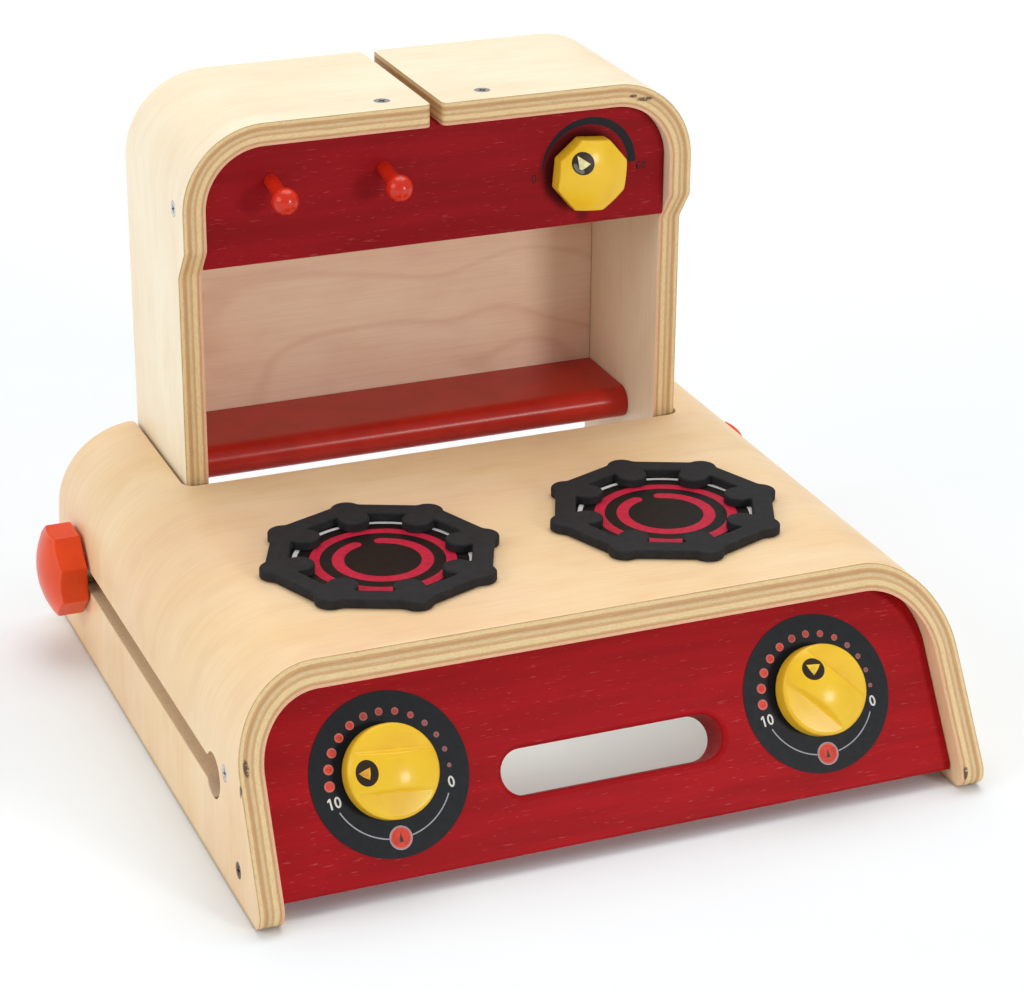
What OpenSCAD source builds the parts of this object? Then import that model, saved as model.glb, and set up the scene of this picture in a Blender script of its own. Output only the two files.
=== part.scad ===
// Folding toy cooker of bent plywood: a low hob box with a slanted front,
// and a tall hood that stands in a notch at the rear and folds back about two
// clamp bolts.  Millimetres, +Z up, the front faces -Y.

/* [Base box] */
// Width of the hob box at the floor
base_w = 330; // [320:1:340]
// Height of the hob top above the floor
base_h = 94; // [92:0.5:96]
// Depth of the hob box from the foot of the slanted front to the rear edge
base_d = 323.5; // [322:0.5:325]
// Radius of the bent outer corners of the hob box
base_r = 39; // [34:1:42]
// Thickness of the bent plywood
ply_t = 10.8; // [9:0.2:11]
// Lean of the side walls from upright, in degrees
side_lean = 1.9; // [0:0.1:2.5]
// Lean of the front edge from upright, in degrees
front_lean = 30; // [28:0.5:32]
// Radius of the rounded feet
foot_r = 8; // [2:0.5:9]

/* [Notch and slots] */
// Half width of the notch that the hood stands in
notch_hw = 124; // [123.5:0.1:124.5]
// Distance of the notch's front edge from the foot of the front
notch_y = 237.8; // [236:0.1:239]
// Height of the slot's centre line above the floor
slot_z = 40.5; // [39:0.5:42]
// Width of the side slots
slot_w = 10.5; // [9:0.5:12]
// Diameter of the round ends of the slots
key_d = 19.6; // [18:0.2:21]
// Position of the slots' front ends
slot_y0 = 69; // [60:1:80]
// Position of the slots' rear ends, where the hood turns
pivot_y = 284; // [283:0.5:285]

/* [Front panel] */
// Set-back of the red front panel from the slanted edge
panel_in = 9; // [6:0.5:12]
// Thickness of the front panel
panel_t = 20; // [16:1:22]
// Height of the front panel's bottom edge above the floor
panel_z = 6.4; // [6:0.1:12]
// Length of the carrying slot in the front panel
grip_w = 101; // [90:1:110]
// Height of the carrying slot
grip_h = 19.6; // [16:0.2:22]
// Position of the carrying slot up the slanted panel
grip_e = 47.6; // [44:0.2:50]

/* [Dials and knobs] */
// Distance of the two lower dials from the middle
dial_x = 97.6; // [90:0.1:104]
// Both dials sit this far to the right of even
dial_shift = -0.9; // [-2:0.1:2]
// Position of the two lower dials up the slanted panel
dial_e = 56.9; // [52:0.1:60]
// Diameter of the round dial plates
dial_d = 68.6; // [60:0.2:72]
// Distance of the two lower knobs' axes from the middle
axis_x = 98; // [90:0.1:104]
// Both axes sit this far to the right of even
axis_shift = -1.3; // [-2:0.1:2]
// Position of the two axes up the slanted panel
axis_e = 58; // [52:0.1:60]
// Diameter of the lower knobs
knob_d = 39.6; // [36:0.2:42]
// Height of the lower knobs' rim
knob_rim = 9.4; // [8:0.2:11]
// Height of the lower knobs' domed grip bar
knob_h = 14.6; // [13:0.2:17]
// Width of the grip bar
bar_w = 17; // [13:0.5:20]
// Direction that the left knob points, from the right and turning left
left_points = 175; // [-18:1:197]
// Direction that the right knob points
right_points = 134; // [-18:1:197]
// Direction that the timer knob points
top_points = 130; // [-10:1:190]
// Diameter of the knobs' spindles
spindle_d = 10; // [8:0.5:12]

/* [Burners] */
// Distance of each burner from the middle
burner_x = 67.2; // [60:0.1:70]
// Distance of the burners from the foot of the front
burner_y = 132.2; // [125:0.1:136]
// Thickness of the black burner grates
grate_t = 4.3; // [3.5:0.1:6]
// Width across the flats of the grate's outer edge
grate_af = 97.4; // [90:0.2:102]
// Width across the flats of the grate's inner edge
grate_if = 79; // [76:0.5:82]
// Radius of the lobes of the grate
lobe_r = 7; // [6:0.1:8]
// Radius of the grate to the tips of its lobes
lobe_out = 54.4; // [52:0.2:57]
// Radius of the grate to the tips of its inner fingers
finger_in = 30; // [28:0.5:33]
// Turn of the grates, in degrees
grate_turn = -0.8; // [-3:0.1:3]

/* [Hood] */
// Half width of the hood
hood_hw = 122.4; // [121.5:0.1:122.8]
// Height of the hood's top above the floor
hood_h = 264; // [255:1:270]
// Radius of the hood's bent corners
hood_r = 38.7; // [34:0.1:42]
// Distance of the upper hood's front edge before the pivot
hood_f = 53.7; // [52:0.1:54]
// Distance of the legs' front edge before the pivot
leg_f = 43; // [42:0.1:43.2]
// Distance of the hood's rear edge behind the pivot
hood_b = 39.5; // [38:0.1:39.7]
// Top of the sloping step in the front edge
step_z1 = 207.5; // [200:0.5:215]
// Bottom of the sloping step in the front edge
step_z0 = 193.5; // [186:0.5:199]
// Left side of the gap between the two halves of the hood
gap_x0 = -6.3; // [-8:0.1:-4]
// Right side of the gap
gap_x1 = -0.7; // [-2:0.1:2]
// Set-back of the red hood panel
hpanel_in = 6.2; // [5:0.1:8]
// Thickness of the red hood panel
hpanel_t = 16; // [12:1:18]
// Bottom edge of the red hood panel above the floor
hpanel_z = 197; // [194:0.5:200]
// Thickness of the hood's back panel
back_t = 5.5; // [4:0.5:6]
// Top of the shelf above the floor
shelf_z = 95.6; // [94:0.1:98]
// Thickness of the shelf
shelf_t = 16; // [12:1:18]
// Depth of the shelf in front of the back panel
shelf_d = 48; // [40:1:52]
// Distance of the timer knob from the middle
timer_x = 71.5; // [68:0.1:76]
// Height of the timer knob above the floor
timer_z = 222.8; // [220:0.1:228]
// Width across the flats of the timer knob
timer_af = 33.4; // [32:0.2:38]
// Positions of the two pegs from the middle
peg_x = [-79.5, -26.5]; // [-90:0.5:-10]
// Height of the pegs above the floor
peg_z = 235; // [230:0.5:238]
// Droop of the pegs, in degrees
peg_lean = 10; // [0:1:16]

/* [Clamps] */
// Width across the flats of the octagonal clamp knobs
clamp_af = 40; // [36:0.5:42]
// Height of the clamp knobs at the middle of their domed face
clamp_h = 18.8; // [14:0.2:20]
// Diameter of the clamp bolt
bolt_d = 8; // [6:0.5:8.5]
// Diameter of the collar that sits in the slot's round end
collar_d = 19; // [18:0.1:19.2]
// Diameter of the spacers on the hood's legs
spacer_d = 36; // [30:1:40]

/* [Hidden] */
$fn = 64;

wood = "#EFD6A8";
edge = "#F5E3BE";
red = "#A51A20";
gloss_red = "#9E2018";
orange = "#E2502A";
yellow = "#F2C82A";
black = "#2A2A2C";
steel = "#B8B8BA";

// the middle of the whole object's depth goes to the origin
mid_y = (foot_r/tan((90 - front_lean)/2) - foot_r + base_d)/2;
hw = base_w/2;
gap = 0.15;
zc = base_h - base_r;
xc = hw - (base_r + zc*sin(side_lean))/cos(side_lean);
// height of the grates' underside and thickness of the printed foils
foil_t = 0.3;
// outer face of the side walls at the slots
wall_x = hw - slot_z*tan(side_lean);
wall_in = wall_x - ply_t/cos(side_lean);
pivot = [0, pivot_y, slot_z];
// the knob's back stands this far off the wall
stand_off = 1.1;
spacer_x1 = wall_in - 1.1;
hi = hood_hw - ply_t;
hood_y = pivot_y - hood_f;
rear_y = pivot_y + hood_b;
hpanel_y = hood_y + hpanel_in;
screw_r = 1.75;
function dial_cx(s) = s*dial_x + dial_shift;
function axis_cx(s) = s*axis_x + axis_shift;
head_r = 3.5;

// ---------- helpers ----------
// from the panel's own axes (x, up the slope, out of the panel) to the box
module on_panel(out = 0) { rotate([90 - front_lean, 0, 0]) translate([0, 0, out]) children(); }
// extrude a y-z outline from x0 to x1
module along_x(x0, x1) { translate([x0, 0, 0]) rotate([90, 0, 90]) linear_extrude(x1 - x0) children(); }
// extrude an x-z outline from y0 to y1
module along_y(y0, y1) { translate([0, y1, 0]) rotate([90, 0, 0]) linear_extrude(y1 - y0) children(); }
module put() { translate([0, -mid_y, 0]) children(); }
module rod_x(x0, x1, r) { translate([x0, 0, 0]) rotate([0, 90, 0]) cylinder(r = r, h = x1 - x0); }
module rod_y(y0, y1, r) { translate([0, y1, 0]) rotate([90, 0, 0]) cylinder(r = r, h = y1 - y0); }
// to one side: s = 1 right, -1 left
module side(s) { if (s > 0) children(); else mirror([1, 0, 0]) children(); }

// inverted-U outline of the hob box, taken in by "i"
module u_outline(i, z0) {
    q = base_r - i;
    tx = xc + q*cos(side_lean);
    tz = zc + q*sin(side_lean);
    xb = hw - (i + z0*sin(side_lean))/cos(side_lean);
    polygon([[xb, z0], [tx, tz], [xc, zc], [xc, zc + q], [-xc, zc + q], [-xc, zc], [-tx, tz], [-xb, z0]]);
    for (s = [-1, 1]) translate([s*xc, zc]) circle(q, $fn = 96);
}

// side view of the hob box: slanted front, rounded feet
module side_outline() {
    b = 90 - front_lean;
    d = foot_r/tan(b/2);
    polygon([[base_d - foot_r, 0], [base_d - foot_r, foot_r], [base_d, foot_r], [base_d, base_h + 1],
        [base_h*tan(front_lean) + 1/tan(b), base_h + 1], [d*cos(b), d*sin(b)], [d, foot_r], [d, 0]]);
    translate([d, foot_r]) circle(foot_r);
    translate([base_d - foot_r, foot_r]) circle(foot_r);
}

// a countersunk screw with a cross recess, head face at the origin, pointing to -Z
module screw(len) {
    difference() {
        union() {
            translate([0, 0, -2.2]) cylinder(r1 = screw_r, r2 = head_r, h = 2.2);
            translate([0, 0, -len + 3]) cylinder(r = screw_r, h = len - 3 - 2.2 + 0.01);
            translate([0, 0, -len]) cylinder(r1 = 0.4, r2 = screw_r, h = 3);
        }
        for (a = [0, 90]) rotate([0, 0, a + 20]) translate([-2, -0.45, -1.3]) cube([4, 0.9, 2]);
    }
}
// its hole, a little larger all round, open past the surface
module screw_hole(len) {
    translate([0, 0, -2.25]) cylinder(r1 = screw_r + 0.06, r2 = head_r + 0.15, h = 2.3);
    translate([0, 0, 0.04]) cylinder(r = head_r + 0.15, h = 3);
    translate([0, 0, -len - 0.3]) cylinder(r = screw_r + 0.06, h = len);
}

// where the hob box's side screws go, and the hood's side and top screws
module at_base_screws() {
    for (s = [-1, 1]) for (p = [[52.9, 49.7], [33.8, 15.1]])
        translate([s*(hw - p[1]*tan(side_lean) - 0.15), p[0], p[1]]) rotate([0, s*90, 0]) children();
}
module at_hood_screws() {
    for (s = [-1, 1]) translate([s*(hood_hw - 0.1), hpanel_y + 8, 224.7]) rotate([0, s*90, 0]) children();
    for (x = [-24.9, 23.2]) translate([x, hpanel_y + 7, hood_h - 0.1]) children();
}

// ---------- hob box ----------
module base_shell() color(wood) put() difference() {
    intersection() {
        difference() {
            along_y(0, base_d) u_outline(0, 0);
            along_y(-5, base_d + 5) u_outline(ply_t, -5);
        }
        along_x(-hw - 5, hw + 5) side_outline();
    }
    // notch for the hood, open at the rear
    translate([-notch_hw, notch_y + 6, zc + 5]) cube([2*notch_hw, 120, 80]);
    translate([-notch_hw + 6, notch_y, zc + 5]) cube([2*notch_hw - 12, 20, 80]);
    for (s = [-1, 1]) translate([s*(notch_hw - 6), notch_y + 6, zc + 5]) cylinder(r = 6, h = 80);
    // side slots with round ends
    for (s = [-1, 1]) translate([s*(wall_x - 5), 0, slot_z]) {
        translate([-15, slot_y0, -slot_w/2]) cube([30, pivot_y - slot_y0, slot_w]);
        for (y = [slot_y0, pivot_y]) translate([0, y, 0]) rod_x(-15, 15, key_d/2);
    }
    at_base_screws() screw_hole(28);
}

module front_panel() color(red) put() difference() {
    intersection() {
        along_y(0, 120) u_outline(ply_t + gap, 0);
        on_panel(-panel_in - panel_t) translate([-hw, -40, 0]) cube([2*hw, 190, panel_t]);
        translate([-hw, 0, panel_z]) cube([2*hw, 120, base_h]);
    }
    on_panel(-panel_in - panel_t - 5) {
        g = grip_w/2 - grip_h/2;
        translate([-g, grip_e - grip_h/2, 0]) cube([2*g, grip_h, panel_t + 10]);
        for (s = [-1, 1]) translate([s*g, grip_e, 0]) cylinder(r = grip_h/2, h = panel_t + 10);
        for (s = [-1, 1]) translate([axis_cx(s), axis_e, 0]) cylinder(r = spindle_d/2 + 0.08, h = panel_t + 10);
    }
    at_base_screws() screw_hole(28);
}

module dial_plate(s) color(black) put() on_panel(-panel_in)
    difference() {
        translate([dial_cx(s), dial_e, 0]) cylinder(r = dial_d/2, h = foil_t, $fn = 96);
        translate([axis_cx(s), axis_e, -1]) cylinder(r = spindle_d/2 + 0.5, h = 3);
    }

module burner_decal(s) color(black) put()
    translate([s*burner_x, burner_y, base_h]) cylinder(r = 44, h = foil_t, $fn = 96);

module grate(s) color(black) put() translate([s*burner_x, burner_y, base_h + foil_t]) rotate([0, 0, grate_turn])
    linear_extrude(grate_t) difference() {
        union() {
            circle(r = grate_af/cos(22.5)/2, $fn = 8);
            for (a = [0:45:315]) rotate(a) translate([lobe_out - lobe_r, 0]) circle(lobe_r);
        }
        difference() {
            circle(r = grate_if/cos(22.5)/2, $fn = 8);
            for (a = [0:45:315]) rotate(a) {
                translate([finger_in + lobe_r, 0]) circle(lobe_r);
                translate([finger_in + lobe_r, 0.2 - lobe_r]) square([20, 2*lobe_r - 0.4]);
            }
        }
    }

// ---------- lower knobs ----------
// round knob with a domed bar left standing between two lowered sides
module bar_knob() {
    rs = ((knob_d/2 - 1)*(knob_d/2 - 1) + (knob_h - knob_rim)*(knob_h - knob_rim))/(2*(knob_h - knob_rim));
    difference() {
        intersection() {
            union() {
                cylinder(r = knob_d/2, h = knob_rim - 1.2);
                translate([0, 0, knob_rim - 1.2]) cylinder(r1 = knob_d/2, r2 = knob_d/2 - 1.2, h = 1.2);
                translate([0, 0, knob_rim - 0.1]) cylinder(r = knob_d/2 - 1.3, h = 8);
            }
            translate([0, 0, knob_h - rs]) sphere(r = rs, $fn = 96);
        }
        for (s = [-1, 1]) translate([-30, s*bar_w/2, knob_rim]) rotate([s*15, 0, 0])
            translate([0, s > 0 ? 0 : -30, 0]) cube([60, 30, 30]);
        for (s = [-1, 1]) translate([-30, s > 0 ? bar_w/2 : -bar_w/2 - 30, knob_rim]) cube([60, 30, 20]);
        // blind bore for the spindle
        translate([0, 0, -1]) cylinder(r = spindle_d/2, h = 7);
    }
}
knob_off = foil_t + 0.6;
module knob_low(s, dir) color(yellow) put() on_panel(-panel_in + knob_off)
    translate([axis_cx(s), axis_e, 0]) rotate([0, 0, dir]) bar_knob();

module spindle_low(s) color(edge) put() on_panel(-panel_in + knob_off)
    translate([axis_cx(s), axis_e, 0]) difference() {
        translate([0, 0, -knob_off - panel_t - 0.8]) cylinder(r = spindle_d/2, h = knob_off + panel_t + 0.8 + 6);
        translate([0, 0, -knob_off - panel_t - 2]) cylinder(r = 1.8, h = 15);
    }

// washer and pan-head screw that keep a spindle in its panel, facing -Z
module retainer_set() {
    difference() {
        translate([0, 0, -1.2]) cylinder(r = 9, h = 1.2);
        translate([0, 0, -3]) cylinder(r = 1.8, h = 5);
    }
    difference() {
        union() {
            translate([0, 0, -1.2]) cylinder(r = 1.8, h = 13);
            translate([0, 0, -3.4]) cylinder(r = 3.6, h = 2.2);
        }
        for (a = [0, 90]) rotate([0, 0, a]) translate([-2, -0.45, -4]) cube([4, 0.9, 1.8]);
    }
}
module retainer_low(s) color(steel) put() on_panel(-panel_in - panel_t - 0.8)
    translate([axis_cx(s), axis_e, 0]) retainer_set();

// ---------- octagonal knobs ----------
// octagonal block with a domed face, back on z = 0
module oct_knob(af, h, rs) {
    intersection() {
        rotate([0, 0, 22.5]) cylinder(r = af/2/cos(22.5), h = h + 1, $fn = 8);
        translate([0, 0, h - rs]) sphere(r = rs, $fn = 96);
        union() {
            cylinder(r1 = af/2 - 0.6, r2 = af/2 + 2.4, h = 3);
            translate([0, 0, 3]) cylinder(r = af/2 + 2.4, h = h);
        }
    }
}

// ---------- hood ----------
// front-to-rear outline of a hood half: step in the front edge, round leg end
module hood_side() {
    y0 = pivot_y - leg_f;
    polygon([[hood_y, hood_h + 1], [hood_y, step_z1], [y0, step_z0], [y0, slot_z], [rear_y, slot_z], [rear_y, hood_h + 1]]);
    intersection() {
        union() {
            intersection() { translate([pivot_y, slot_z]) circle(leg_f); translate([0, -50]) square([pivot_y, 200]); }
            translate([pivot_y, slot_z]) circle(hood_b);
        }
        translate([0, slot_z - hood_b]) square([400, hood_b + 0.01]);
    }
}
module hood_outline(i) {
    q = hood_r - i;
    translate([-hood_hw + i, 0]) square([2*(hood_hw - i), hood_h - hood_r]);
    translate([-hood_hw + hood_r, 0]) square([2*(hood_hw - hood_r), hood_h - i]);
    for (s = [-1, 1]) translate([s*(hood_hw - hood_r), hood_h - hood_r]) circle(q, $fn = 96);
}
module hood_half(x0, x1) color(wood) put() difference() {
    intersection() {
        difference() {
            along_y(hood_y - 5, rear_y + 5) hood_outline(0);
            along_y(hood_y - 9, rear_y + 9) translate([0, -5]) hood_outline_in();
        }
        along_x(x0, x1) hood_side();
    }
    translate([0, pivot_y, slot_z]) rod_x(-hood_hw - 5, hood_hw + 5, bolt_d/2 + 1);
    at_hood_screws() screw_hole(21);
}
// inner outline, carried below the legs
module hood_outline_in() {
    translate([0, 5]) hood_outline(ply_t);
    translate([-hi, -20]) square([2*hi, 60]);
}
module hood_left() hood_half(-hood_hw - 5, gap_x0);
module hood_right() hood_half(gap_x1, hood_hw + 5);

module hood_panel() color(red) put() difference() {
    intersection() {
        along_y(hpanel_y, hpanel_y + hpanel_t) hood_outline(ply_t + gap);
        translate([-200, 0, hpanel_z]) cube([400, 400, 100]);
    }
    translate([timer_x, 0, timer_z]) rod_y(hpanel_y - 5, hpanel_y + hpanel_t + 5, spindle_d/2 + 0.08);
    for (x = peg_x) translate([x, hpanel_y, peg_z]) rotate([peg_lean, 0, 0]) rod_y(-10, 12.1, 3.3);
    at_hood_screws() screw_hole(21);
}

module back_panel() color(edge) put() intersection() {
    along_y(rear_y - back_t, rear_y) hood_outline(ply_t + gap);
    translate([-200, 0, shelf_z - shelf_t]) cube([400, 400, 300]);
}

module shelf() color(gloss_red) put() translate([0, rear_y - back_t - shelf_d, 0]) {
    r = shelf_t/2;
    along_x(-hi + gap, hi - gap) {
        translate([r, shelf_z - shelf_t]) square([shelf_d - r - gap, shelf_t]);
        translate([r, shelf_z - r]) circle(r);
    }
}

module peg(x) color(orange) put() translate([x, hpanel_y, peg_z]) rotate([90 + peg_lean, 0, 0]) {
    translate([0, 0, -12]) cylinder(r = 3.3, h = 26);
    translate([0, 0, 13.9]) cylinder(r1 = 3.3, r2 = 4.4, h = 3);
    translate([0, 0, 20]) sphere(r = 6.1);
}

module knob_timer() color(yellow) put() translate([timer_x, hpanel_y - 0.8, timer_z]) rotate([90, 0, 0]) difference() {
    rotate([0, 0, top_points]) oct_knob(timer_af, 13, 34);
    translate([0, 0, -1]) cylinder(r = spindle_d/2, h = 7);
}
module spindle_timer() color(edge) put() translate([timer_x, hpanel_y - 0.8, timer_z]) rotate([90, 0, 0]) difference() {
    translate([0, 0, -0.8 - hpanel_t - 0.8]) cylinder(r = spindle_d/2, h = 1.6 + hpanel_t + 6);
    translate([0, 0, -0.8 - hpanel_t - 2]) cylinder(r = 1.8, h = 15);
}
module retainer_timer() color(steel) put() translate([timer_x, hpanel_y + hpanel_t + 0.8, timer_z]) rotate([90, 0, 0]) retainer_set();

// ---------- clamps ----------
module spacer(s) color(edge) put() side(s) translate([0, pivot_y, slot_z]) difference() {
    rod_x(hood_hw, spacer_x1, spacer_d/2);
    rod_x(hood_hw - 5, spacer_x1 + 5, bolt_d/2 + 1);
    rod_x(spacer_x1 - 14, spacer_x1 + 5, 6);
}
module insert(s) color(steel) put() side(s) translate([0, pivot_y, slot_z]) difference() {
    rod_x(spacer_x1 - 14, spacer_x1 - 0.5, 6);
    rod_x(spacer_x1 - 30, spacer_x1 + 5, bolt_d/2 + 0.06);
}
module clamp_knob(s) color(orange) put() side(s) translate([wall_x + stand_off, pivot_y, slot_z]) rotate([0, 90, 0]) difference() {
    oct_knob(clamp_af, clamp_h, 38);
    translate([0, 0, -1]) cylinder(r = bolt_d/2, h = 11);
}
module clamp_bolt(s) color(steel) put() side(s) translate([0, pivot_y, slot_z]) {
    rod_x(hood_hw + 4, wall_x + stand_off + 10, bolt_d/2);
    rod_x(wall_x - 4.5, wall_x + stand_off, collar_d/2);
}
module clamp_washer(s) color(black) put() side(s) translate([0, pivot_y, slot_z]) difference() {
    rod_x(wall_x + stand_off - 0.45, wall_x + stand_off - 0.05, 14);
    rod_x(wall_x - 5, wall_x + 9, collar_d/2 + 0.15);
}

// ---------- screws ----------
module base_screws() color(steel) put() at_base_screws() screw(27);
module hood_screws() color(steel) put() at_hood_screws() screw(20);

base_shell();
front_panel();
dial_plate(-1);  // dial_plate_left
dial_plate(1);  // dial_plate_right
burner_decal(-1);  // burner_decal_left
burner_decal(1);  // burner_decal_right
grate(-1);  // grate_left
grate(1);  // grate_right
knob_low(-1, left_points);  // knob_left
knob_low(1, right_points);  // knob_right
knob_timer();
spindle_low(-1);  // spindle_left
spindle_low(1);  // spindle_right
spindle_timer();
retainer_low(-1);  // retainer_left
retainer_low(1);  // retainer_right
retainer_timer();
hood_left();
hood_right();
hood_panel();
back_panel();
shelf();
peg(peg_x[0]);  // peg_left
peg(peg_x[1]);  // peg_right
spacer(-1);  // spacer_left
spacer(1);  // spacer_right
insert(-1);  // insert_left
insert(1);  // insert_right
clamp_knob(-1);  // clamp_knob_left
clamp_knob(1);  // clamp_knob_right
clamp_bolt(-1);  // clamp_bolt_left
clamp_bolt(1);  // clamp_bolt_right
clamp_washer(-1);  // clamp_washer_left
clamp_washer(1);  // clamp_washer_right
base_screws();
hood_screws();
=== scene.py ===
import math

import bpy
import numpy as np
from mathutils import Matrix, Vector
from mathutils.geometry import delaunay_2d_cdt


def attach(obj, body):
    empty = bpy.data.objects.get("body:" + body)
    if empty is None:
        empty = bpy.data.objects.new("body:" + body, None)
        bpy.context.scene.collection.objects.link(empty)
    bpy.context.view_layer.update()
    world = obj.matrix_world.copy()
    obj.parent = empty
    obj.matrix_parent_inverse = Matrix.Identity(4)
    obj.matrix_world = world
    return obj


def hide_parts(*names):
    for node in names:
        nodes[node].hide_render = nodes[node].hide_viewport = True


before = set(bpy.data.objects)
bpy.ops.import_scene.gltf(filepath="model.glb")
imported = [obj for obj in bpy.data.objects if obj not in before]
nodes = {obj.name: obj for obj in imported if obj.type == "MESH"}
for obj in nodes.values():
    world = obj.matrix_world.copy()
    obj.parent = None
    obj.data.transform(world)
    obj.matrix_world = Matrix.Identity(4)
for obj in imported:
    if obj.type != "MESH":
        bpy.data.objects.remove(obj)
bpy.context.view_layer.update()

# ---------------------------------------------------------------- measures
# Everything below is in millimetres in the box's own axes: x to the right,
# y from the foot of the slanted front to the rear, z up. MY is the middle of
# the depth, which the frame puts at its origin.
MY = 164.678203
T30 = math.tan(math.radians(30))
S60, C60 = math.sin(math.radians(60)), math.cos(math.radians(60))
LEAN = math.radians(1.9)
HW, H, R, PLY = 165.0, 94.0, 39.0, 10.8
ZC = H - R
XC = HW - (R + ZC * math.sin(LEAN)) / math.cos(LEAN)
ARC = R * (math.pi / 2 - LEAN)
WALL = (ZC + R * math.sin(LEAN)) / math.cos(LEAN)
SF = XC + ARC + WALL                      # the foot, along the outer face
DEPTH = 323.5
HHW, HH, HR = 122.4, 264.0, 38.7          # hood
HX = HHW - HR
HARC = HR * math.pi / 2
PIV_Y, PIV_Z = 284.0, 40.5
HF, LF, HB = 230.3, 241.0, 39.5
HPY = 236.5                               # face of the red hood panel
DIAL_CX, DIAL_E = {-1: -98.5, 1: 96.7}, 56.9
AXIS_CX, AXIS_E = {-1: -99.3, 1: 96.7}, 58.0
BX, BY = 67.2, 132.2
TX, TZ = 71.5, 222.8


def lin(h, a=1.0):
    h = h.lstrip("#")
    c = [int(h[i:i + 2], 16) / 255 for i in (0, 2, 4)]
    return tuple((x / 12.92 if x <= 0.04045 else ((x + 0.055) / 1.055) ** 2.4) for x in c) + (a,)


# ---------------------------------------------------------------- outlines
def unit(v):
    return v / max(1e-9, float(np.hypot(*v)))


def fillet(pts, step=0.7):
    """A closed outline from corner points (x, y, radius)."""
    out, n = [], len(pts)
    for i, (x, y, r) in enumerate(pts):
        p = np.array([x, y], float)
        if r <= 0:
            out.append(p)
            continue
        u = unit(np.array(pts[i - 1][:2], float) - p)
        w = unit(np.array(pts[(i + 1) % n][:2], float) - p)
        ang = math.acos(max(-1, min(1, float(u @ w))))
        d = r / math.tan(ang / 2)
        c = p + unit(u + w) * r / math.sin(ang / 2)
        p0, p1 = p + u * d - c, p + w * d - c
        a0, a1 = math.atan2(p0[1], p0[0]), math.atan2(p1[1], p1[0])
        da = (a1 - a0 + math.pi) % (2 * math.pi) - math.pi
        k = max(4, int(abs(da) * r / step))
        out += [c + r * np.array([math.cos(a0 + da * j / k), math.sin(a0 + da * j / k)]) for j in range(k + 1)]
    return np.array(out)


def dense(loop, step):
    """The same closed outline with no edge longer than step."""
    out = []
    for i in range(len(loop)):
        a, b = loop[i], loop[(i + 1) % len(loop)]
        k = max(1, int(math.ceil(float(np.hypot(*(b - a))) / step)))
        out += [a + (b - a) * j / k for j in range(k)]
    return np.array(out)


def ring(x, y, r, n=48, cw=False):
    a = np.linspace(0, 2 * np.pi, n, endpoint=False)
    if cw:
        a = -a
    return np.stack([x + r * np.cos(a), y + r * np.sin(a)], 1)


def band(r0, r1, a0, a1, n=40, cap=False):
    """A closed piece of a ring between two angles in degrees, its ends round if cap."""
    t = np.radians(np.linspace(a0, a1, n))
    o = np.stack([r1 * np.cos(t), r1 * np.sin(t)], 1)
    i = np.stack([r0 * np.cos(t), r0 * np.sin(t)], 1)[::-1]
    if not cap:
        return np.concatenate([o, i])
    rm, h = (r0 + r1) / 2, (r1 - r0) / 2

    def end(a, s):
        a = math.radians(a)
        q = np.linspace(0, np.pi, 9)[1:-1]
        er, et = np.array([math.cos(a), math.sin(a)]), np.array([-math.sin(a), math.cos(a)]) * s
        return np.array([er * (rm + h * s * math.cos(x)) + et * h * math.sin(x) for x in q])
    return np.concatenate([o, end(a1, 1), i, end(a0, -1)])


def even_odd(P, loops):
    """Whether each point lies inside the outlines, holes counted out."""
    P = np.asarray(P, float)
    inside = np.zeros(len(P), bool)
    for L in loops:
        A, B = L, np.roll(L, -1, 0)
        for s in range(0, len(P), 4000):
            q = P[s:s + 4000]
            y = q[:, 1][:, None]
            c = (A[:, 1][None] > y) != (B[:, 1][None] > y)
            with np.errstate(divide="ignore", invalid="ignore"):
                x = (B[:, 0] - A[:, 0])[None] * (y - A[:, 1][None]) / (B[:, 1] - A[:, 1])[None] + A[:, 0][None]
            inside[s:s + 4000] ^= ((c & (q[:, 0][:, None] < x)).sum(1) % 2).astype(bool)
    return inside


def near(P, loops, d):
    """Whether each point is nearer than d to an outline's corner points."""
    Q = np.concatenate(loops)
    out = np.zeros(len(P), bool)
    for s in range(0, len(P), 2000):
        q = P[s:s + 2000]
        out[s:s + 2000] = (((q[:, None] - Q[None]) ** 2).sum(2).min(1)) < d * d
    return out


def normals2(L):
    """Away from the material: to the right of the way round."""
    e = np.roll(L, -1, 0) - L
    e /= np.maximum(1e-9, np.hypot(e[:, 0], e[:, 1]))[:, None]
    n = np.stack([e[:, 1], -e[:, 0]], 1)
    m = n + np.roll(n, 1, 0)
    q = np.maximum(1e-6, (m * m).sum(1) / 2)
    return m / np.maximum(q, 0.6)[:, None]


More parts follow.
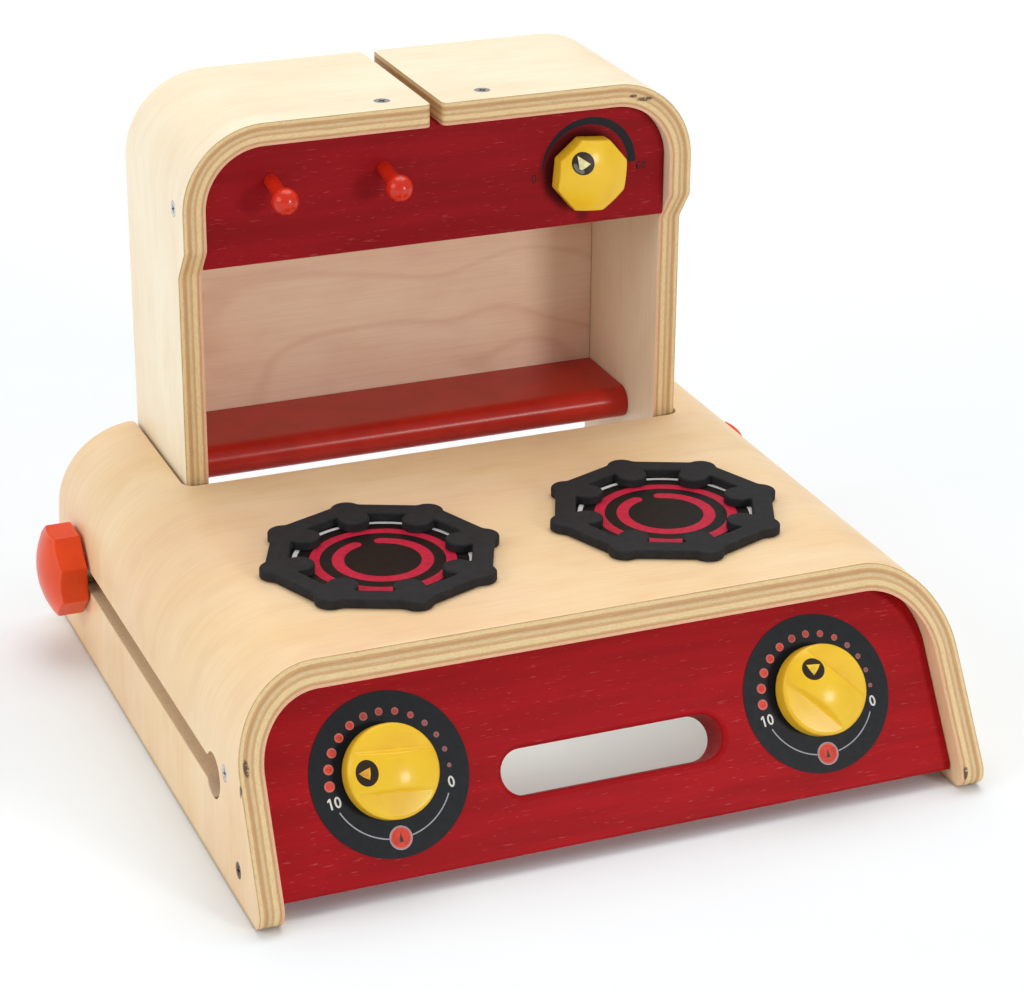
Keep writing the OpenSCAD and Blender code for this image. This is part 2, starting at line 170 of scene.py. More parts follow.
def triangulate(loops, pts, keep=None):
    """Triangles of the region within the loops, with extra points pts. Returns all 2-D points and triangles."""
    P, E, k = [], [], 0
    for L in loops:
        n = len(L)
        P.append(L)
        E += [(k + i, k + (i + 1) % n) for i in range(n)]
        k += n
    if len(pts):
        P.append(pts)
    P = np.concatenate(P)
    v, _, f, ov, _, _ = delaunay_2d_cdt([Vector((float(a), float(b))) for a, b in P], E, [], 0, 1e-6, True)
    idx, extra, base = [], [], len(P)
    for i, o in enumerate(ov):
        if o:
            idx.append(o[0])
        else:
            idx.append(base + len(extra))
            extra.append([v[i].x, v[i].y])
    if extra:
        P = np.concatenate([P, np.array(extra)])
    F = np.array([[idx[i] for i in t] for t in f if len(t) == 3])
    c = P[F].mean(1)
    F = F[even_odd(c, keep if keep is not None else loops)]
    a = P[F]
    area = (a[:, 1, 0] - a[:, 0, 0]) * (a[:, 2, 1] - a[:, 0, 1]) - (a[:, 1, 1] - a[:, 0, 1]) * (a[:, 2, 0] - a[:, 0, 0])
    F[area < 0] = F[area < 0][:, ::-1]
    return P, F[np.abs(area) > 1e-9], c


def build(name, V, F, mats, body, fmat=None, nrm=None, ply=None, smooth=True, replaces=()):
    me = bpy.data.meshes.new(name)
    W = np.array(V, float) * 0.001
    W[:, 1] -= MY * 0.001
    me.from_pydata(W.tolist(), [], [list(map(int, f)) for f in F])
    mats = mats if isinstance(mats, (list, tuple)) else [mats]
    for m in mats:
        me.materials.append(m)
    if fmat is not None:
        me.polygons.foreach_set("material_index", np.array(fmat, np.int32))
    if smooth:
        me.polygons.foreach_set("use_smooth", np.ones(len(me.polygons), bool))
    if ply is not None:
        at = me.attributes.new("ply", "FLOAT_VECTOR", "POINT")
        at.data.foreach_set("vector", np.array(ply, np.float32).ravel())
    me.update()
    me.validate()
    if nrm is not None:
        me.normals_split_custom_set_from_vertices(np.array(nrm, float).tolist())
    ob = bpy.data.objects.new(name, me)
    bpy.context.scene.collection.objects.link(ob)
    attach(ob, body)
    if replaces:
        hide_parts(*replaces)
    return ob


def unit3(v):
    return v / np.maximum(1e-12, np.linalg.norm(v, axis=-1))[..., None]


def slab(name, loops, t, P, mats, body, r0=1.5, r1=1.5, us=None, vs=None, skew=None, radii=None, replaces=(), origin=(0, 0), wob=0.0):
    """A sheet with rounded edges. loops[0] is the outer outline (anticlockwise), the rest are holes
    (clockwise); P(a, b, d) places a point of the sheet at depth d below its face."""
    skew = skew or [(0, 0)] * len(loops)
    radii = radii or [(r0, r1)] * len(loops)
    K = 5
    V, PLYC, N, F = [], [], [], []
    starts = []
    for L, sk, (ra, rb) in zip(loops, skew, radii):
        n2 = normals2(L)
        prof = [(ra * (1 - math.sin(q)), ra * (1 - math.cos(q)), math.sin(q), math.cos(q)) for q in np.linspace(0, math.pi / 2, K)]
        prof += [(0, ra + (t - ra - rb) * f, 1, 0) for f in (0.04, 0.25, 0.5, 0.75, 0.96)]
        prof += [(rb * (1 - math.sin(q)), t - rb * (1 - math.cos(q)), math.sin(q), -math.cos(q)) for q in np.linspace(math.pi / 2, 0, K)]

        def at(e, d):
            a = L[:, 0] - n2[:, 0] * e + sk[0] * d
            b = L[:, 1] - n2[:, 1] * e + sk[1] * d
            return a, b
        a, b = at(0, t / 2)
        mid = P(a, b, np.full(len(L), t / 2))
        tan = np.roll(mid, -1, 0) - np.roll(mid, 1, 0)
        a, b = at(0, ra)
        top = P(a, b, np.zeros(len(L)) + ra)
        a, b = at(0, t - rb)
        bot = P(a, b, np.zeros(len(L)) + (t - rb))
        edge = unit3(np.cross(bot - top, tan))
        starts.append((sum(len(x) for x in V), len(L), len(prof)))
        for e, d, sn, cs in prof:
            a, b = at(e, d)
            dd = np.zeros(len(L)) + d
            h = 0.05
            face = unit3(np.cross(P(a + h, b, dd) - P(a - h, b, dd), P(a, b + h, dd) - P(a, b - h, dd)))
            V.append(P(a, b, dd))
            PLYC.append(np.stack([a, b, dd], 1))
            N.append(unit3(face * cs + edge * sn))
    Vn = np.concatenate(V)
    C = np.concatenate(PLYC)
    Nn = np.concatenate(N)
    for s, n, m in starts:
        i = np.arange(n)
        j = (i + 1) % n
        for k in range(m - 1):
            F.append(np.stack([s + k * n + i, s + (k + 1) * n + i, s + (k + 1) * n + j, s + k * n + j], 1))
    faces = [f for blk in F for f in blk.tolist()]
    total = len(Vn)
    for side in (0, 1):
        rings = []
        ids = []
        for s, n, m in starts:
            q = s + (0 if side == 0 else (m - 1) * n) + np.arange(n)
            ids.append(q)
            rings.append(C[q][:, :2])
        if us is not None:
            U, Wv = np.meshgrid(us, vs)
            g = np.stack([U.ravel(), Wv.ravel()], 1)
            g = g[even_odd(g, rings)]
            g = g[~near(g, rings, 2.0)]
        else:
            g = np.zeros((0, 2))
        pts, tri, _ = triangulate(rings, g)
        flat = np.concatenate(ids)
        nl = len(flat)
        ex = pts[nl:]
        d = np.full(len(ex), 0.0 if side == 0 else t)
        if len(ex):
            h = 0.05
            a, b = ex[:, 0], ex[:, 1]
            fn = unit3(np.cross(P(a + h, b, d) - P(a - h, b, d), P(a, b + h, d) - P(a, b - h, d)))
            Vn = np.concatenate([Vn, P(a, b, d)])
            C = np.concatenate([C, np.stack([a, b, d], 1)])
            Nn = np.concatenate([Nn, fn if side == 0 else -fn])
        lut = np.concatenate([flat, total + np.arange(len(ex))])
        total += len(ex)
        tri = lut[tri]
        if side == 1:
            tri = tri[:, ::-1]
        faces += tri.tolist()
    C = C + np.array([origin[0], origin[1], 0.0])
    return build(name, Vn, faces, mats, body, nrm=Nn, ply=C, replaces=replaces)


def lathe(name, prof, place, mats, body, n=72, replaces=()):
    """Turns a profile of (radius, height) about the local z axis; place maps local points to the box."""
    V, F = [], []
    m = len(prof)
    for r, z in prof:
        a = np.linspace(0, 2 * np.pi, n, endpoint=False)
        V.append(np.stack([r * np.cos(a), r * np.sin(a), np.full(n, z)], 1))
    for k in range(m - 1):
        for i in range(n):
            j = (i + 1) % n
            F.append([k * n + i, k * n + j, (k + 1) * n + j, (k + 1) * n + i])
    F.append(list(range(n))[::-1])
    F.append([(m - 1) * n + i for i in range(n)])
    V = np.concatenate(V)
    return build(name, place(V), F, mats, body, ply=V, replaces=replaces)


def rounded_profile(pts, step=0.35):
    """An open profile with rounded corners: points (r, z, corner radius)."""
    out = []
    for i, (x, y, r) in enumerate(pts):
        p = np.array([x, y], float)
        if r <= 0 or i in (0, len(pts) - 1):
            out.append(p)
            continue
        u, w = unit(np.array(pts[i - 1][:2]) - p), unit(np.array(pts[i + 1][:2]) - p)
        ang = math.acos(max(-1, min(1, float(u @ w))))
        d = r / math.tan(ang / 2)
        c = p + unit(u + w) * r / math.sin(ang / 2)
        p0, p1 = p + u * d - c, p + w * d - c
        a0, a1 = math.atan2(p0[1], p0[0]), math.atan2(p1[1], p1[0])
        da = (a1 - a0 + math.pi) % (2 * math.pi) - math.pi
        k = max(4, int(abs(da) * r / step))
        out += [c + r * np.array([math.cos(a0 + da * j / k), math.sin(a0 + da * j / k)]) for j in range(k + 1)]
    return [(float(a), float(b)) for a, b in out]


# ---------------------------------------------------------------- materials
class Mat:
    """A short way to write a node material."""

    def __init__(self, name, **fixed):
        self.m = bpy.data.materials.new(name)
        self.m.use_nodes = True
        self.t = self.m.node_tree
        self.t.nodes.clear()
        out = self.t.nodes.new("ShaderNodeOutputMaterial")
        self.b = self.t.nodes.new("ShaderNodeBsdfPrincipled")
        self.t.links.new(self.b.outputs[0], out.inputs[0])
        for k, v in fixed.items():
            self.b.inputs[k.replace("_", " ")].default_value = v

    def put(self, sock, v):
        if isinstance(v, bpy.types.NodeSocket):
            self.t.links.new(v, sock)
        else:
            sock.default_value = v

    def node(self, kind, ins=(), out=0, **props):
        n = self.t.nodes.new("ShaderNode" + kind)
        for k, v in props.items():
            setattr(n, k, v)
        for k, v in (ins.items() if isinstance(ins, dict) else enumerate(ins)):
            if v is not None:
                self.put(n.inputs[k], v)
        return n.outputs[out]

    def coord(self):
        """Place on the object, in millimetres."""
        return self.node("VectorMath", [self.node("TexCoord", out="Object"), (1000, 1000, 1000)], operation="MULTIPLY")

    def ply(self):
        return self.node("Attribute", out="Vector", attribute_name="ply")

    def mul(self, v, s, add=None):
        o = self.node("VectorMath", [v, tuple(s)], operation="MULTIPLY")
        return self.node("VectorMath", [o, add], operation="ADD") if add is not None else o

    def noise(self, v, scale=1.0, detail=3.0, rough=0.5, dist=0.0, out="Fac"):
        return self.node("TexNoise", {"Vector": v, "Scale": scale, "Detail": detail, "Roughness": rough, "Distortion": dist}, out=out)

    def voro(self, v, scale=1.0, rand=1.0, out="Distance"):
        return self.node("TexVoronoi", {"Vector": v, "Scale": scale, "Randomness": rand}, out=out)

    def m_(self, op, a, b=0.0, c=0.0, clamp=False):
        return self.node("Math", [a, b, c], operation=op, use_clamp=clamp)

    def map(self, v, a, b, c=0.0, d=1.0, smooth=True):
        return self.node("MapRange", {"Value": v, "From Min": a, "From Max": b, "To Min": c, "To Max": d}, interpolation_type="SMOOTHSTEP" if smooth else "LINEAR")

    def mix(self, f, a, b, blend="MIX"):
        n = self.t.nodes.new("ShaderNodeMix")
        n.data_type = "RGBA"
        n.blend_type = blend
        self.put(n.inputs[0], f)
        self.put(n.inputs[6], a)
        self.put(n.inputs[7], b)
        return n.outputs[2]

    def sep(self, v):
        n = self.t.nodes.new("ShaderNodeSeparateXYZ")
        self.put(n.inputs[0], v)
        return n.outputs[0], n.outputs[1], n.outputs[2]

    def comb(self, x, y, z):
        return self.node("CombineXYZ", [x, y, z])

    def ramp(self, f, stops, interp="LINEAR"):
        n = self.t.nodes.new("ShaderNodeValToRGB")
        r = n.color_ramp
        r.interpolation = interp
        while len(r.elements) < len(stops):
            r.elements.new(0.5)
        for e, (p, c) in zip(r.elements, stops):
            e.position = p
            e.color = c
        self.put(n.inputs[0], f)
        return n.outputs[0]

    def bump(self, h, strength=0.2, dist=0.0005, normal=None):
        ins = {"Height": h, "Strength": strength, "Distance": dist}
        if normal is not None:
            ins["Normal"] = normal
        return self.node("Bump", ins)

    def set(self, **kw):
        for k, v in kw.items():
            self.put(self.b.inputs[k.replace("_", " ")], v)
        return self


def spots(M, pts, co):
    """0..1 where the place is inside one of the small ellipsoids (x, y, z, rx, ry, rz)."""
    total = None
    for x, y, z, rx, ry, rz in pts:
        v = M.node("VectorMath", [co, (x, y - MY, z)], operation="SUBTRACT")
        v = M.mul(v, (1 / rx, 1 / ry, 1 / rz))
        d = M.node("VectorMath", [v], operation="LENGTH", out="Value")
        s = M.map(d, 1.5, 0.9)
        total = s if total is None else M.m_("MAXIMUM", total, s)
    return total


def ply_mat(name, light, mid, dark, pink, seed, line=0.0, marks=(), t=10.8, rough=0.45, slot=False, foot=False, tint=(1, 1, 1, 1)):
    """Clear-lacquered bent plywood: veneer figure on the faces and its layers on the edges.
    The sheet's own coordinates run along the grain, across it and down into it."""
    M = Mat(name, Coat_Weight=0.10, Coat_Roughness=0.30, Specular_IOR_Level=0.32)
    co = M.coord()
    p = M.ply()
    u, v, d = M.sep(p)
    # veneer
    big = M.noise(M.mul(p, (0.009, 0.020, 0.0), (seed, 0, 0)), 1, 3, 0.55)
    warp = M.noise(M.mul(p, (0.005, 0.013, 0.0), (seed + 7, 3, 0)), 1, 2, 0.5)
    cloud = M.noise(M.mul(p, (0.030, 0.075, 0.0), (seed, 17, 0)), 1, 3, 0.55)
    fib = M.noise(M.mul(p, (0.016, 0.62, 0.0), (seed, 5, 0)), 1, 4, 0.6)
    fine = M.noise(M.mul(p, (0.06, 3.0, 0.0), (seed, 9, 0)), 1, 3, 0.6)
    pore = M.map(M.noise(M.mul(p, (0.07, 1.5, 0.0), (seed, 31, 0)), 1, 2, 0.5), 0.66, 0.76)
    c = M.mix(M.map(big, 0.34, 0.68), light, mid)
    c = M.mix(M.m_("MULTIPLY", M.map(warp, 0.46, 0.72), 0.45), c, pink)
    c = M.mix(M.m_("MULTIPLY", M.map(cloud, 0.44, 0.72), 0.13), c, dark)
    c = M.mix(M.m_("MULTIPLY", M.map(fib, 0.38, 0.75), 0.14), c, dark)
    c = M.mix(M.m_("MULTIPLY", M.map(fine, 0.42, 0.75), 0.09), c, dark)
    c = M.mix(M.m_("MULTIPLY", pore, 0.16), c, dark)
    if line:
        fld = M.m_("ADD", M.m_("MULTIPLY", warp, 24.0), M.m_("MULTIPLY", v, 0.045))
        wave = M.m_("ABSOLUTE", M.m_("SINE", fld))
        c = M.mix(M.m_("MULTIPLY", M.map(wave, 0.6, 0.0), line), c, dark)
    face = c
    # layers
    wob = M.noise(M.mul(p, (0.05, 0.05, 0.05), (seed, 1, 2)), 1, 3, 0.6)
    rag = M.noise(M.mul(p, (0.9, 0.9, 0.6), (seed, 4, 2)), 1, 3, 0.6)
    dn = M.m_("ADD", M.m_("DIVIDE", d, t), M.m_("ADD", M.m_("MULTIPLY", M.m_("SUBTRACT", wob, 0.5), 0.05), M.m_("MULTIPLY", M.m_("SUBTRACT", rag, 0.5), 0.03)))
    BR, CR, TN, GB, TD, PK = lin("#B98F62"), lin("#E3C896"), lin("#CDA372"), lin("#D6BC90"), lin("#BC915F"), lin("#E2B08C")
    st = [(0.0, BR), (0.035, BR), (0.07, CR), (0.17, CR), (0.20, TN), (0.30, TD), (0.36, TN), (0.39, GB), (0.47, GB), (0.50, TN), (0.58, TN),
          (0.61, CR), (0.76, CR), (0.80, TN), (0.86, TD), (0.90, PK), (1.0, PK)]
    lay = M.ramp(dn, st)
    endg = M.noise(M.mul(p, (0.55, 0.55, 2.2), (seed, 2, 8)), 1, 4, 0.7)
    lay = M.mix(M.m_("MULTIPLY", M.map(endg, 0.42, 0.72), 0.30), lay, lin("#9E7446"))
    lay = M.mix(M.m_("MULTIPLY", M.map(M.noise(M.mul(p, (0.09, 0.09, 3.0), (seed, 6, 8)), 1, 3, 0.6), 0.5, 0.75), 0.28), lay, lin("#EBD9B4"))
    # now and then the dark second layer is open
    gate = M.map(M.noise(M.mul(p, (0.035, 0.035, 0.0), (seed, 12, 8)), 1, 2, 0.5), 0.66, 0.72)
    inlayer = M.m_("MULTIPLY", M.map(dn, 0.19, 0.22), M.map(dn, 0.36, 0.31))
    hole = M.m_("MULTIPLY", M.m_("MULTIPLY", gate, inlayer), M.map(rag, 0.42, 0.58))
    lay = M.mix(M.m_("MULTIPLY", hole, 0.7), lay, lin("#4A2E16"))
    if slot:
        # painted shade: inside the side slots the cut face is plain tan in place of the ply layers, darker toward its
        # upper side, and dark brown over the lower part of the front round end
        x, y, z = M.sep(co)
        ax = M.m_("ABSOLUTE", x)
        zone = M.m_("MULTIPLY", M.m_("MULTIPLY", M.map(ax, 149, 150), M.map(y, -108, -107)), M.m_("MULTIPLY", M.map(z, 29.5, 30.2), M.map(z, 51.5, 50.8)))
        zone = M.m_("MULTIPLY", zone, M.map(y, 150, 149))
        low = M.mix(M.map(z, 36.5, 34.5), lin("#D9B686"), lin("#E6CDAE"))
        low = M.mix(M.m_("MULTIPLY", M.map(z, 45.0, 37.0), M.map(y, -95.5, -98.0)), low, lin("#8A6038"))
        low = M.mix(M.m_("MULTIPLY", M.map(rag, 0.58, 0.70), 0.3), low, lin("#6E4A28"))
        lay = M.mix(zone, lay, low)
    edgeness = M.m_("MULTIPLY", M.map(d, 0.10, 0.34), M.map(d, t - 0.08, t - 0.26))
    col = M.mix(edgeness, face, lay)
    if foot:
        # painted contact shade: the feet darken to brown in the last 3 mm above the floor
        x, y, z = M.sep(co)
        col = M.mix(M.m_("MULTIPLY", M.map(z, 3.2, 0.2), 0.55), col, lin("#8B6238"))
    if marks:
        sp = spots(M, marks, co)
        sp = M.m_("MULTIPLY", sp, M.map(rag, 0.3, 0.5))
        col = M.mix(M.m_("MULTIPLY", sp, 0.85), col, lin("#3A2412"))
    col = M.mix(1.0, col, tint, "MULTIPLY")
    h = M.m_("ADD", M.m_("MULTIPLY", fib, 0.5), M.m_("ADD", M.m_("MULTIPLY", fine, 0.5), M.m_("MULTIPLY", M.m_("MULTIPLY", edgeness, endg), 1.4)))
    h = M.m_("SUBTRACT", h, M.m_("MULTIPLY", hole, 1.2))
    rg = M.m_("ADD", rough - 0.06, M.m_("ADD", M.m_("MULTIPLY", fib, 0.12), M.m_("MULTIPLY", edgeness, 0.14)))
    M.set(Base_Color=col, Roughness=rg, Normal=M.bump(h, 0.25, 0.00012))
    return M.m


def red_mat(name, base, dark, pale, seed, rough=0.5, scale=1.0, shade=None):
    """Red stain under a satin lacquer; the pores run along x as short pale and dark flecks. Each shade entry (x, z, r0,
    r1, strength) paints soft shade into the red, darkest inside r0.
    """
    M = Mat(name, Coat_Weight=0.02, Coat_Roughness=0.3, Specular_IOR_Level=0.07)
    co = M.coord()
    long = M.noise(M.mul(co, (0.012, 0.12, 0.12), (seed, 0, 0)), 1, 2, 0.5)
    fib = M.noise(M.mul(co, (0.030 * scale, 0.9 * scale, 0.9 * scale), (seed, 3, 0)), 1, 4, 0.6)
    fleck = M.map(M.noise(M.mul(co, (0.16 * scale, 1.3 * scale, 1.3 * scale), (seed, 8, 1)), 1, 2, 0.55), 0.645, 0.74)
    pores = M.map(M.noise(M.mul(co, (0.13 * scale, 1.8 * scale, 1.8 * scale), (seed, 15, 1)), 1, 2, 0.5), 0.66, 0.74)
    c = M.mix(M.m_("MULTIPLY", M.map(long, 0.3, 0.7), 0.5), base, dark)
    c = M.mix(M.m_("MULTIPLY", M.map(fib, 0.45, 0.78), 0.24), c, dark)
    c = M.mix(M.m_("MULTIPLY", pores, 0.35), c, dark)
    c = M.mix(M.m_("MULTIPLY", fleck, 0.38), c, pale)
    if shade:
        # painted shade: each entry darkens the red toward a near-black red, fading out between r0 and r1 from its point
        x, y, z = M.sep(co)
        for x0, z0, r0, r1, k in shade:
            dd = M.node("VectorMath", [M.comb(M.m_("SUBTRACT", x, x0), 0.0, M.m_("SUBTRACT", z, z0))], operation="LENGTH", out="Value")
            c = M.mix(M.m_("MULTIPLY", M.map(dd, r1, r0), k), c, lin("#2E0508"))
    h = M.m_("SUBTRACT", M.m_("MULTIPLY", fib, 0.6), M.m_("MULTIPLY", pores, 0.7))
    M.set(Base_Color=c, Roughness=M.m_("ADD", rough - 0.05, M.m_("MULTIPLY", fib, 0.14)), Normal=M.bump(h, 0.3, 0.00015))
    return M.m


def lacquer(name, base, dark, rough=0.22, coat=0.6, seed=0.0, orange_peel=0.05, edge=None):
    """Gloss lacquer on turned wood: a little uneven, with rubbed spots."""
    M = Mat(name, Coat_Weight=coat, Coat_Roughness=0.16, Specular_IOR_Level=0.2)
    co = M.coord()
    big = M.noise(M.mul(co, (0.06, 0.06, 0.06), (seed, 0, 0)), 1, 3, 0.5)
    grain = M.noise(M.mul(co, (0.12, 0.9, 0.12), (seed, 5, 0)), 1, 3, 0.6)
    c = M.mix(M.m_("MULTIPLY", M.map(big, 0.35, 0.7), 0.35), base, dark)
    c = M.mix(M.m_("MULTIPLY", M.map(grain, 0.5, 0.8), 0.16), c, dark)
    if edge is not None:
        pt = M.node("NewGeometry", out="Pointiness")
        c = M.mix(M.m_("MULTIPLY", M.map(pt, 0.53, 0.60), 0.35), c, edge)
    peel = M.noise(co, 0.9, 3, 0.5)
    M.set(Base_Color=c, Roughness=M.m_("ADD", rough - 0.05, M.m_("MULTIPLY", peel, 0.12)), Normal=M.bump(peel, orange_peel, 0.0002))
    return M.m


def ink(name, col, rough=0.45, seed=0.0, spec=0.16, vary=0.14):
    """Printed satin foil: almost even, a faint mottle and tiny dust."""
    M = Mat(name, Specular_IOR_Level=spec)
    co = M.coord()
    n = M.noise(M.mul(co, (0.35, 0.35, 0.35), (seed, 0, 0)), 1, 4, 0.6)
    d = M.map(M.noise(co, 3.1, 2, 0.5), 0.68, 0.78)
    k = tuple(min(1, x * (1 - vary * 1.6)) for x in col[:3]) + (1,)
    c = M.mix(M.map(n, 0.35, 0.7), col, k)
    c = M.mix(M.m_("MULTIPLY", d, 0.05), c, (0.5, 0.5, 0.5, 1))
    M.set(Base_Color=c, Roughness=M.m_("ADD", rough - 0.04, M.m_("MULTIPLY", n, 0.1)), Normal=M.bump(n, 0.06, 0.0001))
    return M.m


def rubber(name, col):
    """Matt closed-cell foam sheet: fine cells and scuffed edges."""
    M = Mat(name, Specular_IOR_Level=0.2)
    co = M.coord()
    cell = M.voro(co, 2.2)
    n = M.noise(co, 0.25, 4, 0.6)
    f = M.noise(co, 4.0, 2, 0.6)
    c = M.mix(M.map(n, 0.35, 0.7), col, tuple(x * 1.5 for x in col[:3]) + (1,))
    c = M.mix(M.m_("MULTIPLY", M.map(f, 0.62, 0.75), 0.25), c, (0.16, 0.16, 0.17, 1))
    h = M.m_("ADD", M.m_("MULTIPLY", cell, 0.6), M.m_("MULTIPLY", f, 0.5))
    M.set(Base_Color=c, Roughness=M.m_("ADD", 0.62, M.m_("MULTIPLY", n, 0.2)), Normal=M.bump(h, 0.35, 0.0002))
    return M.m


def metal(name, col, rough=0.28, seed=0.0, dirt=0.2, dark_low=False):
    M = Mat(name, Metallic=1.0)
    co = M.coord()
    n = M.noise(M.mul(co, (1, 1, 1), (seed, 0, 0)), 0.5, 4, 0.6)
    s = M.noise(M.mul(co, (0.3, 5.0, 5.0), (seed, 4, 0)), 1, 3, 0.6)
    c = M.mix(M.m_("MULTIPLY", M.map(n, 0.45, 0.75), dirt), col, tuple(x * 0.45 for x in col[:3]) + (1,))
    if dark_low:
        # screw heads lower than z 24-26 mm are coloured dark brown
        x, y, z = M.sep(co)
        c = M.mix(M.m_("MULTIPLY", M.map(z, 26.0, 24.0), 0.93), c, lin("#3B2616"))
    M.set(Base_Color=c, Roughness=M.m_("ADD", rough - 0.06, M.m_("MULTIPLY", s, 0.18)), Normal=M.bump(s, 0.12, 0.0001))
    return M.m


def plain_wood(name, light, dark, axis=0, seed=0.0, rough=0.5):
    M = Mat(name, Specular_IOR_Level=0.4)
    co = M.coord()
    k = [1.1, 1.1, 1.1]
    k[axis] = 0.03
    q = [0.12, 0.12, 0.12]
    q[axis] = 0.008
    f = M.noise(M.mul(co, k, (seed, 0, 0)), 1, 4, 0.6)
    b = M.noise(M.mul(co, q, (seed, 2, 0)), 1, 3, 0.5)
    w = M.m_("ABSOLUTE", M.m_("SINE", M.m_("MULTIPLY", b, 40.0)))
    c = M.mix(M.map(f, 0.35, 0.72), light, dark)
    c = M.mix(M.m_("MULTIPLY", M.map(w, 0.3, 0.0), 0.3), c, dark)
    M.set(Base_Color=c, Roughness=M.m_("ADD", rough, M.m_("MULTIPLY", f, 0.12)), Normal=M.bump(f, 0.25, 0.0002))
    return M.m


M_BASE = ply_mat("bent_ply_base", lin("#F8DCB2"), lin("#F3D1A0"), lin("#CFA06C"), lin("#F1C8A4"), 3.0, slot=True, foot=True,
                 marks=[(-159.5, 34.8, 60.3, 1.0, 2.2, 3.6), (-163.4, 30.9, 53.5, 0.6, 1.0, 3.0), (-165.2, 26.7, 46.2, 0.6, 1.0, 3.4), (-165.2, 21.0, 36.4, 0.6, 1.0, 3.2),
                        (-165.4, 15.5, 27.0, 0.7, 1.2, 3.0), (155.6, 5.8, 10.1, 0.9, 1.6, 3.4)])
M_HOOD = ply_mat("bent_ply_hood", lin("#FDF0D4"), lin("#F9E8C8"), lin("#D9B68A"), lin("#F6DDBC"), 41.0,
                 marks=[(98.0, 230.3, 255.6, 3.4, 2.0, 0.8), (92.0, 230.3, 257.6, 1.6, 2.0, 0.6)])
M_BACK = ply_mat("thin_ply_back", lin("#F6D8BE"), lin("#F0CDB0"), lin("#CC8C70"), lin("#EAB89C"), 77.0, 0.20, t=5.5)
M_RED = red_mat("red_stain_front", lin("#A8131A"), lin("#860F15"), lin("#CC6062"), 2.0)
# the hood panel's shade: a painted shadow of the timer knob, a soft dark ring offset up and left of it, and a small
# darker spot below the knob
M_REDH = red_mat("red_stain_hood", lin("#94121A"), lin("#760E14"), lin("#B85054"), 12.0,
                 shade=[(TX - 2.2, TZ + 1.2, 16.5, 22.5, 0.85), (TX - 1.2, TZ - 21.3, 1.0, 4.4, 0.5)])
M_SHELF = lacquer("red_gloss_shelf", lin("#C0281A"), lin("#9A1A12"), 0.34, 0.16, 5.0, 0.06)
M_YEL = lacquer("yellow_lacquer", lin("#EEC22C"), lin("#DDA51E"), 0.34, 0.25, 8.0, 0.03)
M_ORG = lacquer("orange_red_lacquer", lin("#EC4A10"), lin("#C9300E"), 0.34, 0.25, 21.0, 0.04)
M_PEG = lacquer("peg_lacquer", lin("#D02A14"), lin("#A81C10"), 0.26, 0.4, 27.0, 0.04)
M_FOIL = ink("foil_blue_black", lin("#15181E"), 0.42, 1.0)
M_BLACK = ink("burner_black", lin("#171212"), 0.45, 3.0)
M_INKR = ink("ink_red", lin("#C62240"), 0.45, 5.0)
M_DOT = ink("ink_dot_large", lin("#DD4A3A"), 0.45, 6.0)
M_DOT2 = ink("ink_dot_middle", lin("#C24C42"), 0.45, 6.5)
M_DOT3 = ink("ink_dot_small", lin("#9C5854"), 0.45, 6.8)
M_RIM1 = ink("ink_rim_large", lin("#D8746C"), 0.45, 7.0)
M_RIM2 = ink("ink_rim_middle", lin("#B8706C"), 0.45, 7.2)
M_RIM3 = ink("ink_rim_small", lin("#A07476"), 0.45, 7.4)
M_WHITE = ink("ink_white", lin("#DCDAD8"), 0.45, 8.0, vary=0.05)
M_ARC = ink("ink_pale_grey", lin("#A9A9B2"), 0.45, 8.5, vary=0.08)
M_MARK = ink("mark_brown", lin("#2E2118"), 0.4, 9.0, spec=0.3)
M_MARKY = ink("mark_yellow", lin("#EFC844"), 0.4, 10.0)
M_MARKO = ink("mark_amber", lin("#E8A33C"), 0.4, 10.5)
M_MARKT = ink("mark_pale", lin("#EDE6B0"), 0.35, 11.0)
# painted reflection: a grey crescent laid on the timer knob's dark mark
M_PAINTED_SHEEN = ink("mark_painted_sheen", lin("#77746A"), 0.35, 11.5)
M_SCALE = ink("scale_black", lin("#1C1A22"), 0.45, 12.0)
M_FAINT = ink("scale_faint", lin("#4A0D12"), 0.45, 12.5)
M_GRATE = rubber("foam_rubber", lin("#222224"))
M_FIBRE = rubber("black_fibre", lin("#1E1E1E"))
M_STEEL = metal("zinc_steel", lin("#C9C9CC"), 0.26)
M_SCREW = metal("screw_steel", lin("#D6D6D8"), 0.30, 7.0, dark_low=True)
M_BRASS = metal("brass", lin("#C9A25A"), 0.3, 3.0)
M_SPIN = plain_wood("spindle_beech", lin("#E7CBA0"), lin("#C79F6C"), 1, 4.0)
M_SPAC = plain_wood("spacer_beech", lin("#E9CFA4"), lin("#CBA36E"), 0, 9.0)

# ---------------------------------------------------------------- camera
cam = bpy.data.objects.new("camera", bpy.data.cameras.new("camera"))
bpy.context.scene.collection.objects.link(cam)
bpy.context.scene.camera = cam
rt, up, bk = Vector((0.92685, -0.37538, 0.00715)), Vector((0.14605, 0.37804, 0.91421)), Vector((-0.34587, -0.84628, 0.40520))
rot = Matrix((rt, up, bk)).transposed().to_4x4()
cam.matrix_world = Matrix.Translation((-0.45755, -1.136748, 0.64364)) @ rot
cam.data.sensor_width = 36
cam.data.lens = 105.2
cam.data.clip_start, cam.data.clip_end = 0.05, 60


